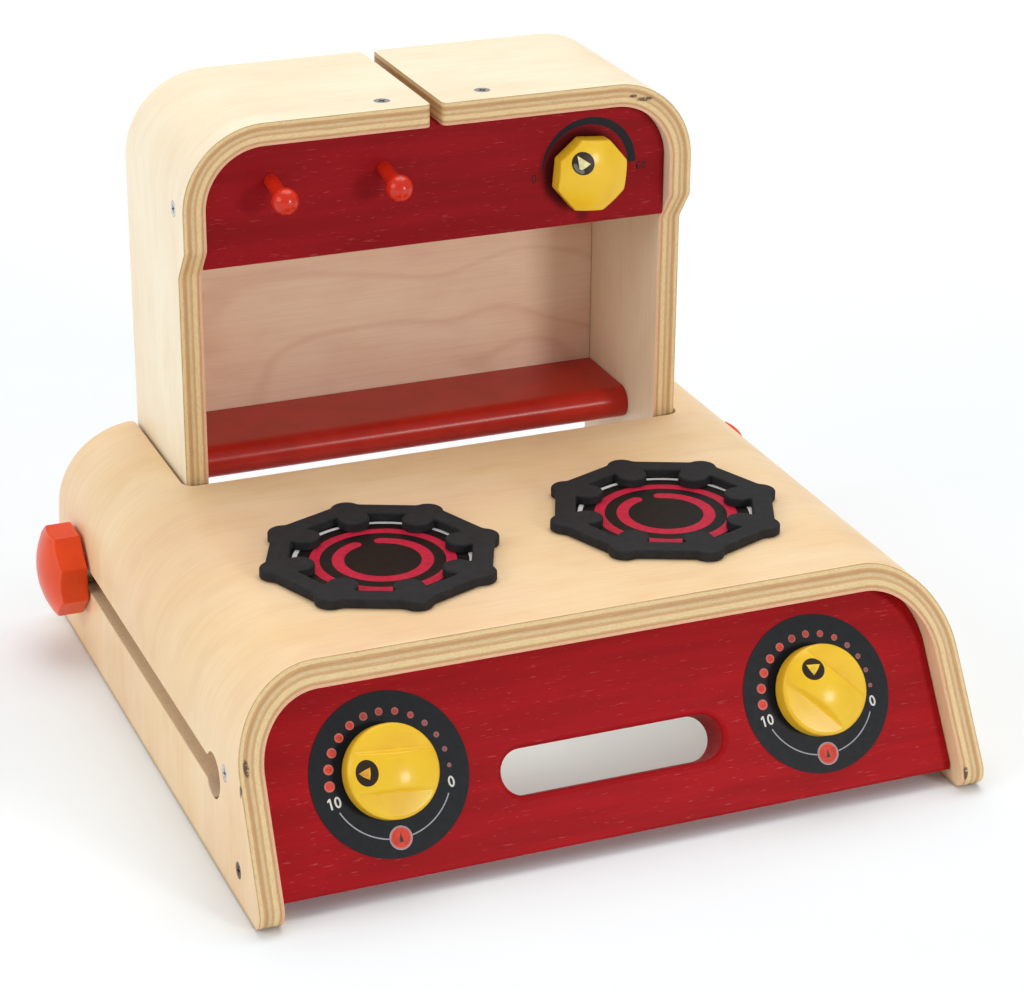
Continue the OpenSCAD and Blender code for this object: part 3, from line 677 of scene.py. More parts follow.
# ---------------------------------------------------------------- hob box
def base_P(s, v, d):
    s, v, d = (np.asarray(q, float) for q in np.broadcast_arrays(s, v, d))
    a, sg = np.abs(s), np.sign(s)
    q = R - d
    phi = np.clip((a - XC) / R, 0, math.pi / 2 - LEAN)
    t = np.maximum(0, a - XC - ARC) * (WALL - d * math.tan(LEAN)) / WALL
    x = np.minimum(a, XC) + q * np.sin(phi) + t * math.sin(LEAN)
    z = ZC + q * np.cos(phi) - t * math.cos(LEAN)
    t0 = np.maximum(0, a - XC - ARC)
    z0 = ZC + R * np.cos(phi) - t0 * math.cos(LEAN)
    f = np.clip(1 - (v - z0 * T30) / 34.0, 0, 1)
    f = np.where(v < z0 * T30, 1.0, f * f * (3 - 2 * f))
    y = v + f * (z - z0) * T30
    return np.stack([sg * x, y, z], -1)


def wall_s(z):
    """Where on the outer face the side wall is z above the floor."""
    return XC + ARC + (ZC + R * math.sin(LEAN) - z) / math.cos(LEAN)


def front_v(s):
    s = abs(s)
    phi = min(max((s - XC) / R, 0), math.pi / 2 - LEAN)
    return (ZC + R * math.cos(phi) - max(0, s - XC - ARC) * math.cos(LEAN)) * T30


ss = [x for x in np.concatenate([np.arange(-SF + 14.5, -XC - ARC, 4), np.linspace(-XC - ARC, -XC, 30), np.arange(-XC + 8, XC - 4, 8),
                                 np.linspace(XC, XC + ARC, 30), np.arange(XC + ARC + 4, SF - 14, 4)])]
outline = [(-SF, 0, 8)] + [(s, front_v(s), 0) for s in ss] + [(SF, 0, 8), (SF, DEPTH, 8), (124, DEPTH, 3), (124, 237.8, 6), (-124, 237.8, 6), (-124, DEPTH, 3), (-SF, DEPTH, 8)]
outer = dense(fillet(outline), 3.0)


def slot_loop(sgn):
    """A long slot with round ends that are wider than it, clockwise."""
    sc = wall_s(40.5)
    hw_, kr = 5.25, 9.8
    da = math.asin(hw_ / kr)
    y0, y1 = 69.0, 284.0
    pts = []
    for a in np.linspace(da, 2 * math.pi - da, 40):      # rear end, round (y1, sc)
        pts.append((math.cos(a) * -1, math.sin(a)))
    rear = [(sc + kr * q[1], y1 + kr * q[0]) for q in pts]
    front = [(sc - kr * q[1], y0 - kr * q[0]) for q in pts]
    L = np.array([(a, b) for a, b in rear + front])
    L = dense(L, 3.5)
    if sgn < 0:
        L[:, 0] *= -1
    area = 0.5 * np.sum(L[:, 0] * np.roll(L[:, 1], -1) - np.roll(L[:, 0], -1) * L[:, 1])
    return L[::-1] if area > 0 else L


holes = [slot_loop(1), slot_loop(-1)]
rad = [(0.5, 0.45), (0.5, 0.5), (0.5, 0.5)]
for sg in (-1, 1):
    for yy, zz in ((52.9, 49.7), (33.8, 15.1)):
        holes.append(ring(sg * wall_s(zz), yy, 3.62, 28, cw=True))
        rad.append((0.25, 0.25))
us = np.concatenate([-np.arange(XC + ARC + 6, SF, 7)[::-1], -np.linspace(XC, XC + ARC, 22)[::-1], np.arange(-XC + 8, XC - 4, 9),
                     np.linspace(XC, XC + ARC, 22), np.arange(XC + ARC + 6, SF, 7)])
slab("base_shell_skin", [outer] + holes, PLY, base_P, M_BASE, "base", us=us, vs=np.arange(4, DEPTH, 8.5), radii=rad, replaces=("base_shell",))


# ---------------------------------------------------------------- red front panel
def panel_P(x, e, d):
    x, e, d = (np.asarray(q, float) for q in np.broadcast_arrays(x, e, d))
    n = -9.0 - d
    return np.stack([x, C60 * e - S60 * n, S60 * e + C60 * n], -1)


q = R - PLY - 0.15


def inner_wall_x(z):
    return HW - (PLY + 0.15 + z * math.sin(LEAN)) / math.cos(LEAN)


e_of = lambda z: (z + 4.5) / S60
arc = [(XC + q * math.cos(a), ZC + q * math.sin(a)) for a in np.linspace(LEAN, math.pi / 2, 34)]
pl = [(inner_wall_x(6.4), 6.4)] + arc + [(-x, z) for x, z in arc[::-1]] + [(-inner_wall_x(6.4), 6.4)]
pl = dense(np.array([(x, e_of(z)) for x, z in pl]), 4.0)
g = 101.0 / 2 - 9.8
grip = [(g + 9.8 * math.cos(a), 47.6 + 9.8 * math.sin(a)) for a in np.linspace(math.pi / 2, -math.pi / 2, 28)]
grip += [(-g - 9.8 * math.cos(a), 47.6 - 9.8 * math.sin(a)) for a in np.linspace(math.pi / 2, -math.pi / 2, 28)]
grip = dense(np.array(grip), 4.0)
low = np.where(pl[:, 1] < e_of(6.4) + 0.01, 2.8, 0.6)
slab("front_panel_skin", [pl, grip] + [ring(AXIS_CX[s], AXIS_E, 5.08, 32, cw=True) for s in (-1, 1)], 20.0, panel_P, M_RED, "base",
     us=np.arange(-150, 151, 10), vs=np.arange(8, 104, 9), skew=[(0, T30), (0, 0), (0, 0), (0, 0)], radii=[(low, 0.8), (2.6, 2.6), (0.3, 0.3), (0.3, 0.3)], replaces=("front_panel",))


# ---------------------------------------------------------------- hood
def hood_P(s, v, d):
    s, v, d = (np.asarray(q, float) for q in np.broadcast_arrays(s, v, d))
    a, sg = np.abs(s), np.sign(s)
    qq = HR - d
    phi = np.clip((a - HX) / HR, 0, math.pi / 2)
    t = np.maximum(0, a - HX - HARC)
    return np.stack([sg * (np.minimum(a, HX) + qq * np.sin(phi)), v, HH - HR + qq * np.cos(phi) - t], -1)


leg_s = lambda z: HX + HARC + (HH - HR - z)
SP = leg_s(PIV_Z)


def hood_loop(gap, sgn):
    pts = [(gap, HF, 2.6), (leg_s(207.5), HF, 5), (leg_s(193.5), LF, 5)]
    rf, rr = 43.0, 39.5
    a1 = math.asin(39.5 / 43.0)
    fr = [(SP + rf * math.sin(a), PIV_Y - rf * math.cos(a), 0) for a in np.linspace(0.0, a1, 30)]
    re = [(SP + rr * math.cos(a), PIV_Y + rr * math.sin(a), 0) for a in np.linspace(0, math.pi / 2, 32)]
    pts += fr + re + [(gap, 323.5, 2.6)]
    L = dense(fillet(pts), 3.0)
    if sgn < 0:
        L = L[::-1] * np.array([-1, 1])
    return L


for name, gap, sgn in (("hood_left", -6.3, -1), ("hood_right", -0.7, 1)):
    g0 = 6.3 if sgn < 0 else -0.7
    L = hood_loop(g0, sgn)
    hs = [ring(sgn * SP, PIV_Y, 5.0, 36, cw=True), ring(sgn * leg_s(224.7), HPY + 8, 3.62, 28, cw=True),
          ring(-24.9 if sgn < 0 else 23.2, HPY + 7, 3.62, 28, cw=True)]
    uu = np.concatenate([np.arange(-0.7 if sgn > 0 else 6.3, HX - 3, 9) + 6, np.linspace(HX, HX + HARC, 22), np.arange(HX + HARC + 7, SP + 39, 9)]) * sgn
    slab(name + "_skin", [L] + hs, PLY, hood_P, M_HOOD, "hood", us=np.sort(uu), vs=np.arange(226, 324, 8.5),
         radii=[(0.5, 0.45), (0.5, 0.5), (0.25, 0.25), (0.25, 0.25)], replaces=(name,))


def face_P(y0):
    """A board standing in the hood: a is x, b is z, depth runs to the rear."""
    def P(a, b, d):
        a, b, d = (np.asarray(q, float) for q in np.broadcast_arrays(a, b, d))
        return np.stack([a, y0 + d, b], -1)
    return P


def hood_inside(i, zb):
    qq = HR - i
    arc = [(HX + qq * math.cos(a), HH - HR + qq * math.sin(a)) for a in np.linspace(0, math.pi / 2, 30)]
    hi = HHW - i
    return dense(np.array([(-hi, zb), (hi, zb)] + arc + [(-x, z) for x, z in arc[::-1]]), 4.0)


slab("hood_panel_skin", [hood_inside(PLY + 0.15, 197.0), ring(TX, TZ, 5.08, 32, cw=True)], 16.0, face_P(HPY), M_REDH, "hood",
     us=np.arange(-105, 106, 10), vs=np.arange(200, 252, 9), radii=[(0.9, 0.9), (0.3, 0.3)], replaces=("hood_panel",))
slab("back_panel_skin", [hood_inside(PLY + 0.15, 79.6)], 5.5, face_P(318.0), M_BACK, "hood",
     us=np.arange(-105, 106, 12), vs=np.arange(86, 252, 12), r0=0.5, r1=0.6, replaces=("back_panel",))

# shelf with its round front edge, drawn from side to side
sec = fillet([(270.0, 79.6, 7.6), (317.85, 79.6, 0.8), (317.85, 95.6, 0.8), (270.0, 95.6, 7.6)], 0.5)


def shelf_P(a, b, d):
    a, b, d = (np.asarray(q, float) for q in np.broadcast_arrays(a, b, d))
    return np.stack([HHW - PLY - 0.15 - d, a, b], -1)


slab("shelf_skin", [dense(sec, 4.0)], 2 * (HHW - PLY - 0.15), shelf_P, M_SHELF, "hood", r0=0.6, r1=0.6, replaces=("shelf",))


# ---------------------------------------------------------------- burners
def grate_loops():
    out, inn = [], []
    for k in range(8):
        ax = math.radians(45 * k - 0.8)
        c, s = math.cos(ax), math.sin(ax)
        rotp = lambda p: (p[0] * c - p[1] * s, p[0] * s + p[1] * c)
        for a in np.radians(np.linspace(-68, 68, 26)):
            out.append(rotp((47.4 + 7 * math.cos(a), 7 * math.sin(a))))
        inn.append(rotp((39.9, -6.8)))
        for a in np.radians(np.linspace(268, 92, 24)):
            inn.append(rotp((37 + 6.97 * math.cos(a), 6.97 * math.sin(a))))
        inn.append(rotp((39.9, 6.8)))

    def soft(L, n):
        L = dense(np.array(L), 0.9)
        for _ in range(n):
            L = 0.5 * L + 0.25 * (np.roll(L, 1, 0) + np.roll(L, -1, 0))
        return L
    return soft(out, 2), soft(inn, 3)[::-1]


GO, GI = grate_loops()
SHIFT = np.array([0.8, -0.5])


def flat_P(x0, y0, z1):
    def P(a, b, d):
        a, b, d = (np.asarray(q, float) for q in np.broadcast_arrays(a, b, d))
        return np.stack([x0 + a, y0 + b, z1 - d], -1)
    return P


def inlay(name, loops, marks, P, t, mats, body, replaces=(), grid=None, side=True):
    """A thin printed piece. marks are (outline, material number, holes...), later ones on top."""
    extra = [m[0] for m in marks] + [h for m in marks for h in m[2:]]
    g = np.zeros((0, 2))
    if grid:
        lo, hi = loops[0].min(0), loops[0].max(0)
        U, W = np.meshgrid(np.arange(lo[0], hi[0], grid), np.arange(lo[1], hi[1], grid))
        g = np.stack([U.ravel(), W.ravel()], 1)
        g = g[even_odd(g, loops)]
        g = g[~near(g, loops + extra, 0.45 * grid)]
    pts, tri, _ = triangulate(loops + extra, g, keep=loops)
    c = pts[tri].mean(1)
    fm = np.zeros(len(tri), int)
    for m in marks:
        fm[even_odd(c, [m[0], *m[2:]])] = m[1]
    V = P(pts[:, 0], pts[:, 1], np.zeros(len(pts)))
    F = tri.tolist()
    fm = fm.tolist()
    used = len(pts)
    Vs = [V]
    k = 0
    if side:
        for L in loops:
            n = len(L)
            Vs.append(P(L[:, 0], L[:, 1], np.full(n, t)))
            for i in range(n):
                j = (i + 1) % n
                F.append([k + i, used + i, used + j, k + j])
                fm.append(0)
            k += n
            used += n
    return build(name, np.concatenate(Vs), F, mats, body, fmat=fm, smooth=False, replaces=replaces)


for side_, s in (("left", -1), ("right", 1)):
    slab("grate_%s_skin" % side_, [GO, GI], 4.3, flat_P(s * BX, BY, 98.6), M_GRATE, "base", r0=0.9, r1=0.4, replaces=("grate_" + side_,))
    marks = [
        (ring(0, 0, 32.0, 110) + SHIFT, 1, ring(0, 0, 27.4, 100) + SHIFT),
        (band(16.8, 22.1, 108 - 360, 74, 90, True) + SHIFT, 1),
        (ring(0, 0, 39.5, 120) + SHIFT, 2, ring(0, 0, 37.4, 120) + SHIFT),
    ]
    inlay("burner_decal_%s_print" % side_, [ring(0, 0, 44, 120)], marks, flat_P(s * BX, BY, 94.3), 0.3, [M_BLACK, M_INKR, M_WHITE], "base",
          replaces=("burner_decal_" + side_,))


# ---------------------------------------------------------------- numbers
def stroke(path, w):
    """An outline of even width w along an open path."""
    p = np.array(path, float)
    t = np.gradient(p, axis=0)
    t /= np.hypot(t[:, 0], t[:, 1])[:, None]
    n = np.stack([-t[:, 1], t[:, 0]], 1) * w / 2
    q = np.linspace(0, math.pi, 7)[1:-1]

    def cap(c, d):
        m = np.array([-d[1], d[0]])
        return [c + w / 2 * (m * math.cos(a) + d * math.sin(a)) for a in q]
    return np.array(list(p + n) + cap(p[-1], t[-1]) + list((p - n)[::-1]) + cap(p[0], -t[0]))


def digit(ch, x, y, h, w=None):
    """Outlines of a figure centred on (x, y), height h."""
    w = w or h * 0.17
    if ch == "0":
        a = np.linspace(0, 2 * np.pi, 36, endpoint=False)
        rx, ry = h * 0.30, h * 0.5
        return (np.stack([x + rx * np.cos(a), y + ry * np.sin(a)], 1), np.stack([x + (rx - w) * np.cos(a), y + (ry - w) * np.sin(a)], 1))
    if ch == "1":
        b = np.array([(0.10, -0.5), (0.10, 0.5), (-0.04, 0.5), (-0.24, 0.33), (-0.24, 0.16), (-0.07, 0.28), (-0.07, -0.5)]) * h
        return (b + np.array([x, y]),)
    a = np.linspace(0, 2 * np.pi, 30, endpoint=False)
    rb = h * 0.29
    cy = -0.5 * h + rb
    tail = [(rb * 0.5, 0.5 * h - w / 2), (0.02 * h, 0.42 * h), (-0.17 * h, 0.22 * h), (-rb + w / 2, 0.0), (-rb + w / 2, cy)]
    tail = stroke(np.array(tail) + np.array([x, y]), w)
    return (np.stack([x + rb * np.cos(a), y + cy + rb * np.sin(a)], 1), np.stack([x + (rb - w) * np.cos(a), y + cy + (rb - w) * np.sin(a)], 1), tail)


def number(text, x, y, h, rot=0.0):
    out = []
    k = len(text)
    for i, ch in enumerate(text):
        px = (i - (k - 1) / 2) * h * 0.66
        ls = digit(ch, px, 0, h)
        c, s = math.cos(rot), math.sin(rot)
        out.append([np.stack([x + L[:, 0] * c - L[:, 1] * s, y + L[:, 0] * s + L[:, 1] * c], 1) for L in ls])
    return out


def number_marks(text, x, y, h, m, rot=0.0):
    res = []
    for ls in number(text, x, y, h, rot):
        if len(ls) == 3:
            res.append((ls[2], m))
            res.append((ls[0], m, ls[1]))
        else:
            res.append((ls[0], m, *ls[1:]))
    return res


# ---------------------------------------------------------------- dials
def dial_P(x0):
    def P(a, b, d):
        a, b, d = (np.asarray(q, float) for q in np.broadcast_arrays(a, b, d))
        n = -9.0 + 0.3 - d
        e = DIAL_E + b
        return np.stack([x0 + a, C60 * e - S60 * n, S60 * e + C60 * n], -1)
    return P


def polar(r, deg):
    return r * math.cos(math.radians(deg)), r * math.sin(math.radians(deg))


for side_, s in (("left", -1), ("right", 1)):
    marks = []
    for k in range(13):
        ang = -1.8 + 15.25 * k
        dia = 1.9 + (4.5 - 1.9) * (k / 12) ** 0.9
        x, y = polar(25.9, ang)
        lv = 0 if k < 4 else (1 if k < 8 else 2)
        marks.append((ring(x, y, dia / 2, 24), 6 + lv))
        marks.append((ring(x, y, dia / 2 * 0.72, 20), (5, 2, 1)[lv]))
    marks.append((band(26.1, 26.62, -154, -101, 40), 9))
    marks.append((band(26.1, 26.62, -79, -27, 40), 9))
    x, y = polar(26.2, -90)
    marks.append((ring(x, y, 4.95, 40), 9))
    marks.append((ring(x, y, 4.55, 40), 8))
    marks.append((ring(x, y, 3.95, 36), 1))
    marks.append((np.array([(x - 1.0, y - 1.7), (x + 1.0, y - 1.7), (x + 0.55, y + 0.2), (x + 0.2, y + 2.2), (x - 0.35, y + 0.5)]), 4))
    x, y = polar(26.3, -163.5)
    marks += number_marks("10", x, y, 4.7, 3, math.radians(6))
    x, y = polar(26.6, -16.5)
    marks += number_marks("0", x, y, 4.7, 3, math.radians(4))
    inlay("dial_%s_print" % side_, [ring(0, 0, 34.3, 120), ring(AXIS_CX[s] - DIAL_CX[s], AXIS_E - DIAL_E, 5.5, 32, cw=True)], marks, dial_P(DIAL_CX[s]), 0.3,
          [M_FOIL, M_DOT, M_DOT2, M_WHITE, M_MARK, M_DOT3, M_RIM3, M_RIM2, M_RIM1, M_ARC], "base", replaces=("dial_plate_" + side_,))


# ---------------------------------------------------------------- lower knobs
KR, KRIM, KH, KBAR = 19.7, 9.4, 14.6, 8.5
KRS = ((KR - 1) ** 2 + (KH - KRIM) ** 2) / (2 * (KH - KRIM))


def smin(a, b, k):
    h = np.clip(0.5 + 0.5 * (b - a) / k, 0, 1)
    return b * (1 - h) + a * h - k * h * (1 - h)


def knob_h(x, y):
    """Height of the knob's face: a domed bar along x between two lowered sides."""
    r2 = x * x + y * y
    dome = KH - KRS + np.sqrt(np.maximum(KRS * KRS - r2, 1))
    wall = KRIM + (KBAR - np.abs(y)) / math.tan(math.radians(17))
    side = KRIM - 0.0012 * r2 + 0.25
    top = smin(dome, wall, 0.35)
    top = -smin(-top, -side, 0.3)
    r = np.sqrt(r2)
    e = 1.5
    k = np.clip((r - (KR - e)) / e, 0, 1)
    top = smin(top, KRIM + 0.3 + 0 * r, 0.3) * 0 + top
    return top - e * (1 - np.sqrt(np.maximum(0, 1 - k * k)))


def on_dial(x0, dirdeg, local):
    """Places a knob's local points (bar along its x) on a lower dial."""
    c, s = math.cos(math.radians(dirdeg)), math.sin(math.radians(dirdeg))
    x = local[..., 0] * c - local[..., 1] * s
    e = local[..., 0] * s + local[..., 1] * c + AXIS_E
    n = local[..., 2] - 9.0 + 0.9
    return np.stack([x0 + x, C60 * e - S60 * n, S60 * e + C60 * n], -1)


def knob_mesh():
    n = 180
    rs = np.concatenate([np.linspace(0.6, KR - 1.6, 38), KR - 1.5 + 1.5 * np.sin(np.linspace(0, math.pi / 2, 9))])
    a = np.linspace(0, 2 * np.pi, n, endpoint=False)
    V = [np.array([[0, 0, float(knob_h(np.array(0.0), np.array(0.0)))]])]
    F = []
    for r in rs:
        x, y = r * np.cos(a), r * np.sin(a)
        V.append(np.stack([x, y, knob_h(x, y)], 1))
    zt = V[-1][:, 2]
    for f in (0.35, 0.8):
        V.append(np.stack([KR * np.cos(a), KR * np.sin(a), zt * (1 - f) + 0.9 * f], 1))
    V.append(np.stack([KR * np.cos(a), KR * np.sin(a), np.full(n, 0.8)], 1))
    V.append(np.stack([(KR - 0.3) * np.cos(a), (KR - 0.3) * np.sin(a), np.full(n, 0.25)], 1))
    V.append(np.stack([(KR - 0.9) * np.cos(a), (KR - 0.9) * np.sin(a), np.full(n, 0.0)], 1))
    V.append(np.stack([5.0 * np.cos(a), 5.0 * np.sin(a), np.full(n, 0.0)], 1))
    i = np.arange(n)
    j = (i + 1) % n
    F += [[0, 1 + p, 1 + q_] for p, q_ in zip(i, j)]
    for k in range(len(V) - 2):
        s0, s1 = 1 + k * n, 1 + (k + 1) * n
        F += [[s0 + p, s1 + p, s1 + q_, s0 + q_] for p, q_ in zip(i, j)]
    s0 = 1 + (len(V) - 2) * n
    F.append([s0 + p for p in i][::-1])
    return np.concatenate(V), F


KV, KF = knob_mesh()


def mark_on(name, disc, arrow, hfun, placer, mats, body, lift=0.05, extra=()):
    def P(a, b, d):
        a, b, d = (np.asarray(q, float) for q in np.broadcast_arrays(a, b, d))
        z = hfun(a, b) + lift - d
        return placer(np.stack([a, b, z], -1))
    inlay(name, [disc], [(arrow, 1)] + list(extra), P, 0.12, mats, body, grid=1.0)


def turned(pts, deg, c):
    """Points turned by deg and moved to c."""
    q, w = math.cos(math.radians(deg)), math.sin(math.radians(deg))
    pts = np.asarray(pts, float)
    return np.stack([c[0] + pts[:, 0] * q - pts[:, 1] * w, c[1] + pts[:, 0] * w + pts[:, 1] * q], 1)


def oval(rx, ry, n=44):
    return ring(0, 0, 1, n) * np.array([rx, ry])


for side_, s, dirdeg in (("left", -1, 175.0), ("right", 1, 134.0)):
    placer = lambda V, s=s, dd=dirdeg: on_dial(AXIS_CX[s], dd, V)
    build("knob_%s_skin" % side_, placer(KV), KF, M_YEL, "knob_" + side_, replaces=("knob_" + side_,))
    if s < 0:
        c, oy, ar = (-12.3, 1.1), oval(4.35, 5.4), np.array([(-3.2, 0.35), (0.6, -2.9), (1.5, 2.15)])
    else:
        c, oy, ar = (-5.6, 9.4), oval(4.75, 4.75), np.array([(-2.5, 2.3), (-0.55, -2.6), (3.4, 1.6)])
    c = turned([c], -dirdeg, (0, 0))[0]
    mark_on("knob_%s_mark" % side_, turned(oy, -dirdeg, c), turned(ar, -dirdeg, c), knob_h, placer, [M_MARK, M_MARKY if s > 0 else M_MARKO],
            "knob_" + side_)


# ---------------------------------------------------------------- eight-sided knobs
def oct_mesh(af, h, rs, hole, fil=0.9, corner=1.3):
    """Octagon block with a domed face; the back is at z = 0."""
    ro = af / 2 / math.cos(math.radians(22.5))
    loop = fillet([(ro * math.cos(math.radians(22.5 + 45 * k)), ro * math.sin(math.radians(22.5 + 45 * k)), corner) for k in range(8)], 0.18)
    loop = dense(loop, 0.9)
    rho = np.hypot(loop[:, 0], loop[:, 1])
    n = len(loop)
    zd = lambda r: h - rs + np.sqrt(rs * rs - r * r)
    V = []
    zt = zd(rho)
    for dr, z in ((1.2, 0.0), (0.5, 0.2), (0.12, 0.7), (0.0, 1.4)):
        V.append(np.column_stack([loop * ((rho - dr) / rho)[:, None], np.full(n, z)]))
    for f in (0.3, 0.6, 0.9):
        V.append(np.column_stack([loop, 1.4 + (zt - fil - 1.4) * f]))
    for a in np.linspace(0, math.pi / 2, 6):
        dr = fil * (1 - math.cos(a))
        r = rho - dr
        V.append(np.column_stack([loop * (r / rho)[:, None], (zt - fil) * (1 - math.sin(a)) + (zd(rho - fil)) * math.sin(a)]))
    for f in (0.93, 0.85, 0.75, 0.64, 0.52, 0.4, 0.28, 0.16, 0.06):
        r = (rho - fil) * f
        V.append(np.column_stack([loop * (r / rho)[:, None], zd(r)]))
    V.append(np.array([[0, 0, h]]))
    V.insert(0, np.column_stack([loop / rho[:, None] * hole, np.zeros(n)]))
    m = len(V) - 1
    i = np.arange(n)
    j = (i + 1) % n
    F = []
    for k in range(m - 1):
        F += [[k * n + a, k * n + b, (k + 1) * n + b, (k + 1) * n + a] for a, b in zip(i, j)]
    F += [[(m - 1) * n + a, (m - 1) * n + b, m * n] for a, b in zip(i, j)]
    F.append([int(a) for a in i][::-1])
    return np.concatenate(V), F, (lambda x, y: zd(np.hypot(x, y)))


TV, TF, THF = oct_mesh(33.4, 13.0, 34.0, 5.0)


def on_timer(V):
    V = np.asarray(V)
    return np.stack([TX + V[..., 0], (HPY - 0.8) - V[..., 2], TZ + V[..., 1]], -1)


def timer_knob(V):
    c, s = math.cos(math.radians(130)), math.sin(math.radians(130))
    return on_timer(np.stack([V[:, 0] * c - V[:, 1] * s, V[:, 0] * s + V[:, 1] * c, V[:, 2]], 1))


build("knob_timer_skin", timer_knob(TV), TF, M_YEL, "knob_timer", replaces=("knob_timer",))
TC = np.array([-6.3, 7.4])
# the mark's grey crescent at its lower left is a painted reflection
mark_on("knob_timer_mark", ring(0, 0, 5.2, 44) + TC, np.array([(-2.4, 3.6), (-1.85, -3.6), (3.4, -0.35)]) + TC, THF, on_timer, [M_MARK, M_MARKT, M_PAINTED_SHEEN], "knob_timer",
        extra=[(band(2.9, 4.6, 190, 262, 20, True) + TC, 2)])


def crescent():
    t = np.radians(np.linspace(182, 0, 60))
    w = 0.3 + 3.85 * (1 - (np.degrees(t) / 182) ** 2.4)
    o = np.stack([23.4 * np.cos(t), 23.4 * np.sin(t)], 1)
    i = np.stack([(23.4 - w) * np.cos(t), (23.4 - w) * np.sin(t)], 1)
    L = np.concatenate([o, i[::-1]])
    return L[::-1]


def scale_P(cx, cz):
    def P(a, b, d):
        a, b, d = (np.asarray(q, float) for q in np.broadcast_arrays(a, b, d))
        return np.stack([cx + a, HPY - 0.06 + d, cz + b], -1)
    return P


inlay("timer_scale", [crescent()], [], scale_P(73.3, 224.5), 0.1, [M_SCALE], "hood")


def free_number(name, text, x, z, h):
    k = 0
    for ls in number(text, 0, 0, h):
        if len(ls) == 3:
            inlay("%s_%d" % (name, k), [ls[2]], [], scale_P(x, z), 0.1, [M_FAINT], "hood")
            k += 1
        inlay("%s_%d" % (name, k), [ls[0]] + [L[::-1] for L in ls[1:2]], [], scale_P(x, z), 0.1, [M_FAINT], "hood")
        k += 1


free_number("timer_zero", "0", 46.0, 221.4, 4.2)
free_number("timer_sixty", "60", 99.6, 222.2, 3.9)

CV, CF, CHF = oct_mesh(40.0, 18.8, 38.0, 4.0, fil=0.7, corner=0.9)
for side_, s in (("left", -1), ("right", 1)):
    x0 = HW - 40.5 * math.tan(LEAN) + 1.1
    V = np.stack([s * (x0 + CV[:, 2]), PIV_Y + CV[:, 1], PIV_Z - CV[:, 0] * 1.0], 1)
    F = CF if s > 0 else [f[::-1] for f in CF]
    build("clamp_knob_%s_skin" % side_, V, F, M_ORG, "clamp_turn_" + side_, replaces=("clamp_knob_" + side_,))

# ---------------------------------------------------------------- pegs
for side_, x in (("left", -79.5), ("right", -26.5)):
    prof = [(0.05, -12.0), (3.1, -12.0), (3.3, -11.7), (3.3, 0.0), (3.25, 6.0), (3.2, 10.0)]
    prof += [(3.2 + 0.9 * (k / 6) ** 1.6, 10 + k * 0.85) for k in range(1, 7)]
    a0 = math.asin(4.1 / 6.1)
    prof += [(6.1 * math.sin(a), 20 - 6.1 * math.cos(a)) for a in np.linspace(a0, math.pi - 0.02, 26)]

    def peg_place(V, x=x):
        c, s = math.cos(math.radians(10)), math.sin(math.radians(10))
        # local z comes out of the panel and droops
        return np.stack([x + V[:, 0], HPY - V[:, 2] * c - V[:, 1] * s, 235.0 - V[:, 2] * s + V[:, 1] * c], 1)
    lathe("peg_%s_skin" % side_, prof, peg_place, M_PEG, "hood", n=48, replaces=("peg_" + side_,))


def dress(names, mat, bevel=None):
    for n in names:
        o = nodes[n]
        if not o.data.materials:
            o.data.materials.append(mat)
        for k in range(len(o.material_slots)):
            o.material_slots[k].link = "OBJECT"
            o.material_slots[k].material = mat
        if bevel:
            b = o.modifiers.new("soft_edges", "BEVEL")
            b.width = bevel
            b.segments = 2
            b.limit_method = "ANGLE"
            b.angle_limit = math.radians(50)


dress(["spindle_left", "spindle_right", "spindle_timer"], M_SPIN)
dress(["spacer_left", "spacer_right"], M_SPAC, 0.0006)
dress(["insert_left", "insert_right"], M_BRASS)
dress(["clamp_washer_left", "clamp_washer_right"], M_FIBRE)
dress(["retainer_left", "retainer_right", "retainer_timer", "clamp_bolt_left", "clamp_bolt_right", "hood_screws"], M_STEEL)
dress(["base_screws"], M_SCREW)

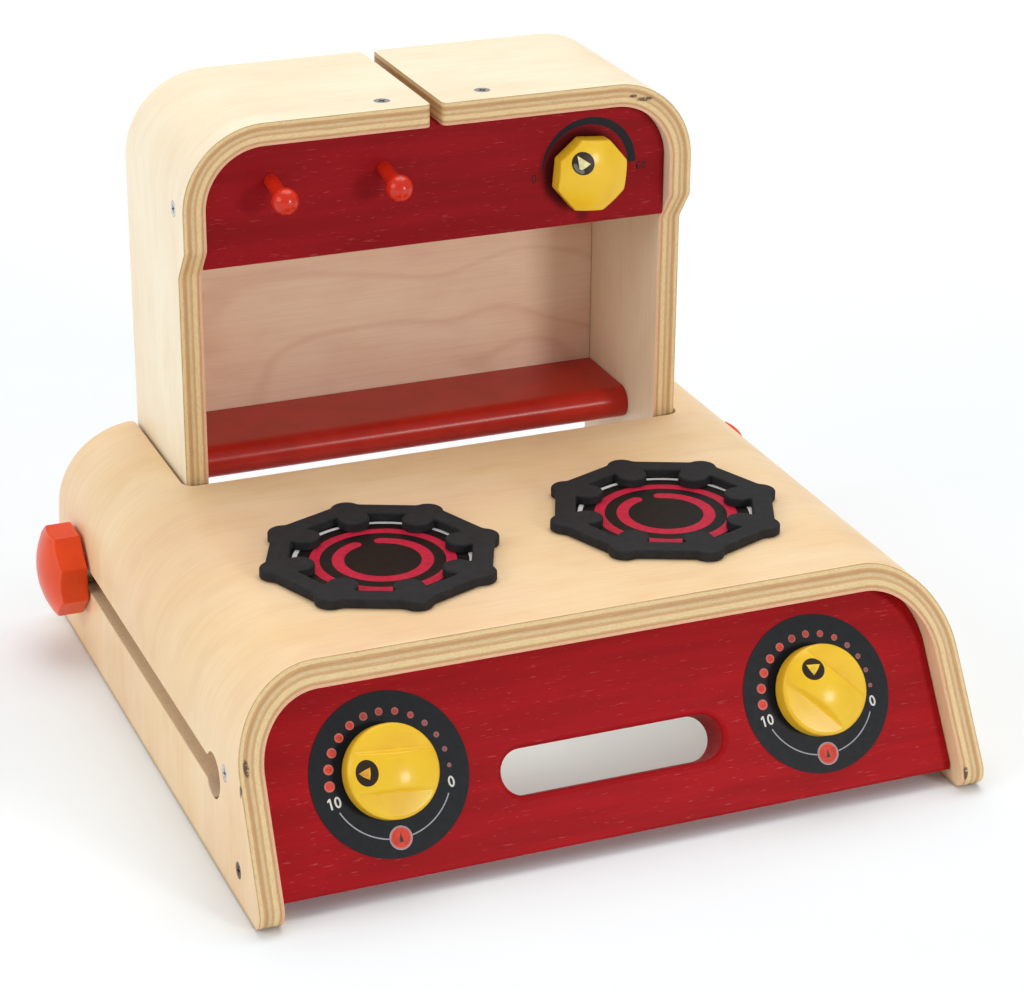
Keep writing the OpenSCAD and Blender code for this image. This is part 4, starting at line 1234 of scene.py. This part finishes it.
# ---------------------------------------------------------------- floor and light
fm = Mat("floor_paper", Specular_IOR_Level=0.15)
fc = fm.coord()
fn = fm.noise(fc, 0.01, 3, 0.5)
fd = fm.node("VectorMath", [fc], operation="LENGTH", out="Value")
fm.set(Base_Color=fm.mix(fm.map(fn, 0.3, 0.7), (0.90, 0.938, 0.965, 1), (0.892, 0.930, 0.960, 1)), Roughness=0.85,
       Emission_Color=(1.0, 1.0, 1.0, 1), Emission_Strength=fm.map(fd, 420.0, 1900.0, 0.0, 0.36))
me = bpy.data.meshes.new("floor")
W = 14.0
me.from_pydata([(-W, -W, 0), (W, -W, 0), (W, W, 0), (-W, W, 0)], [], [(0, 1, 2, 3)])
me.materials.append(fm.m)
floor = bpy.data.objects.new("floor", me)
floor.location = (0, 0, -0.0002)
bpy.context.scene.collection.objects.link(floor)

world = bpy.data.worlds.new("studio")
bpy.context.scene.world = world
world.use_nodes = True
world.node_tree.nodes["Background"].inputs[0].default_value = (1.0, 1.0, 1.0, 1)
world.node_tree.nodes["Background"].inputs[1].default_value = 0.46


def area(name, loc, target, size, power, col=(1, 1, 1)):
    l = bpy.data.lights.new(name, "AREA")
    l.shape = "RECTANGLE"
    l.size, l.size_y = size
    l.energy = power
    l.color = col
    o = bpy.data.objects.new(name, l)
    o.location = loc
    o.rotation_mode = "QUATERNION"
    o.rotation_quaternion = (Vector(target) - Vector(loc)).to_track_quat("-Z", "Y")
    bpy.context.scene.collection.objects.link(o)
    return o


area("top", (0.35, 0.62, 2.15), (0, 0, 0.1), (2.0, 1.8), 31, (1.0, 0.99, 0.97))
area("front", (0.90, -2.12, 0.72), (0, -0.05, 0.1), (0.46, 0.46), 15.5, (1.0, 0.985, 0.95))
area("left", (-2.0, -0.3, 1.1), (0, 0, 0.14), (1.4, 1.2), 14)
under = area("under", (0.0, -0.03, 0.078), (0, -0.03, 0.0), (0.22, 0.10), 0.075, (0.84, 1.0, 1.0))
under.visible_camera = False
under.visible_glossy = False

bpy.context.scene.view_settings.view_transform = "Standard"
bpy.context.scene.view_settings.look = "None"
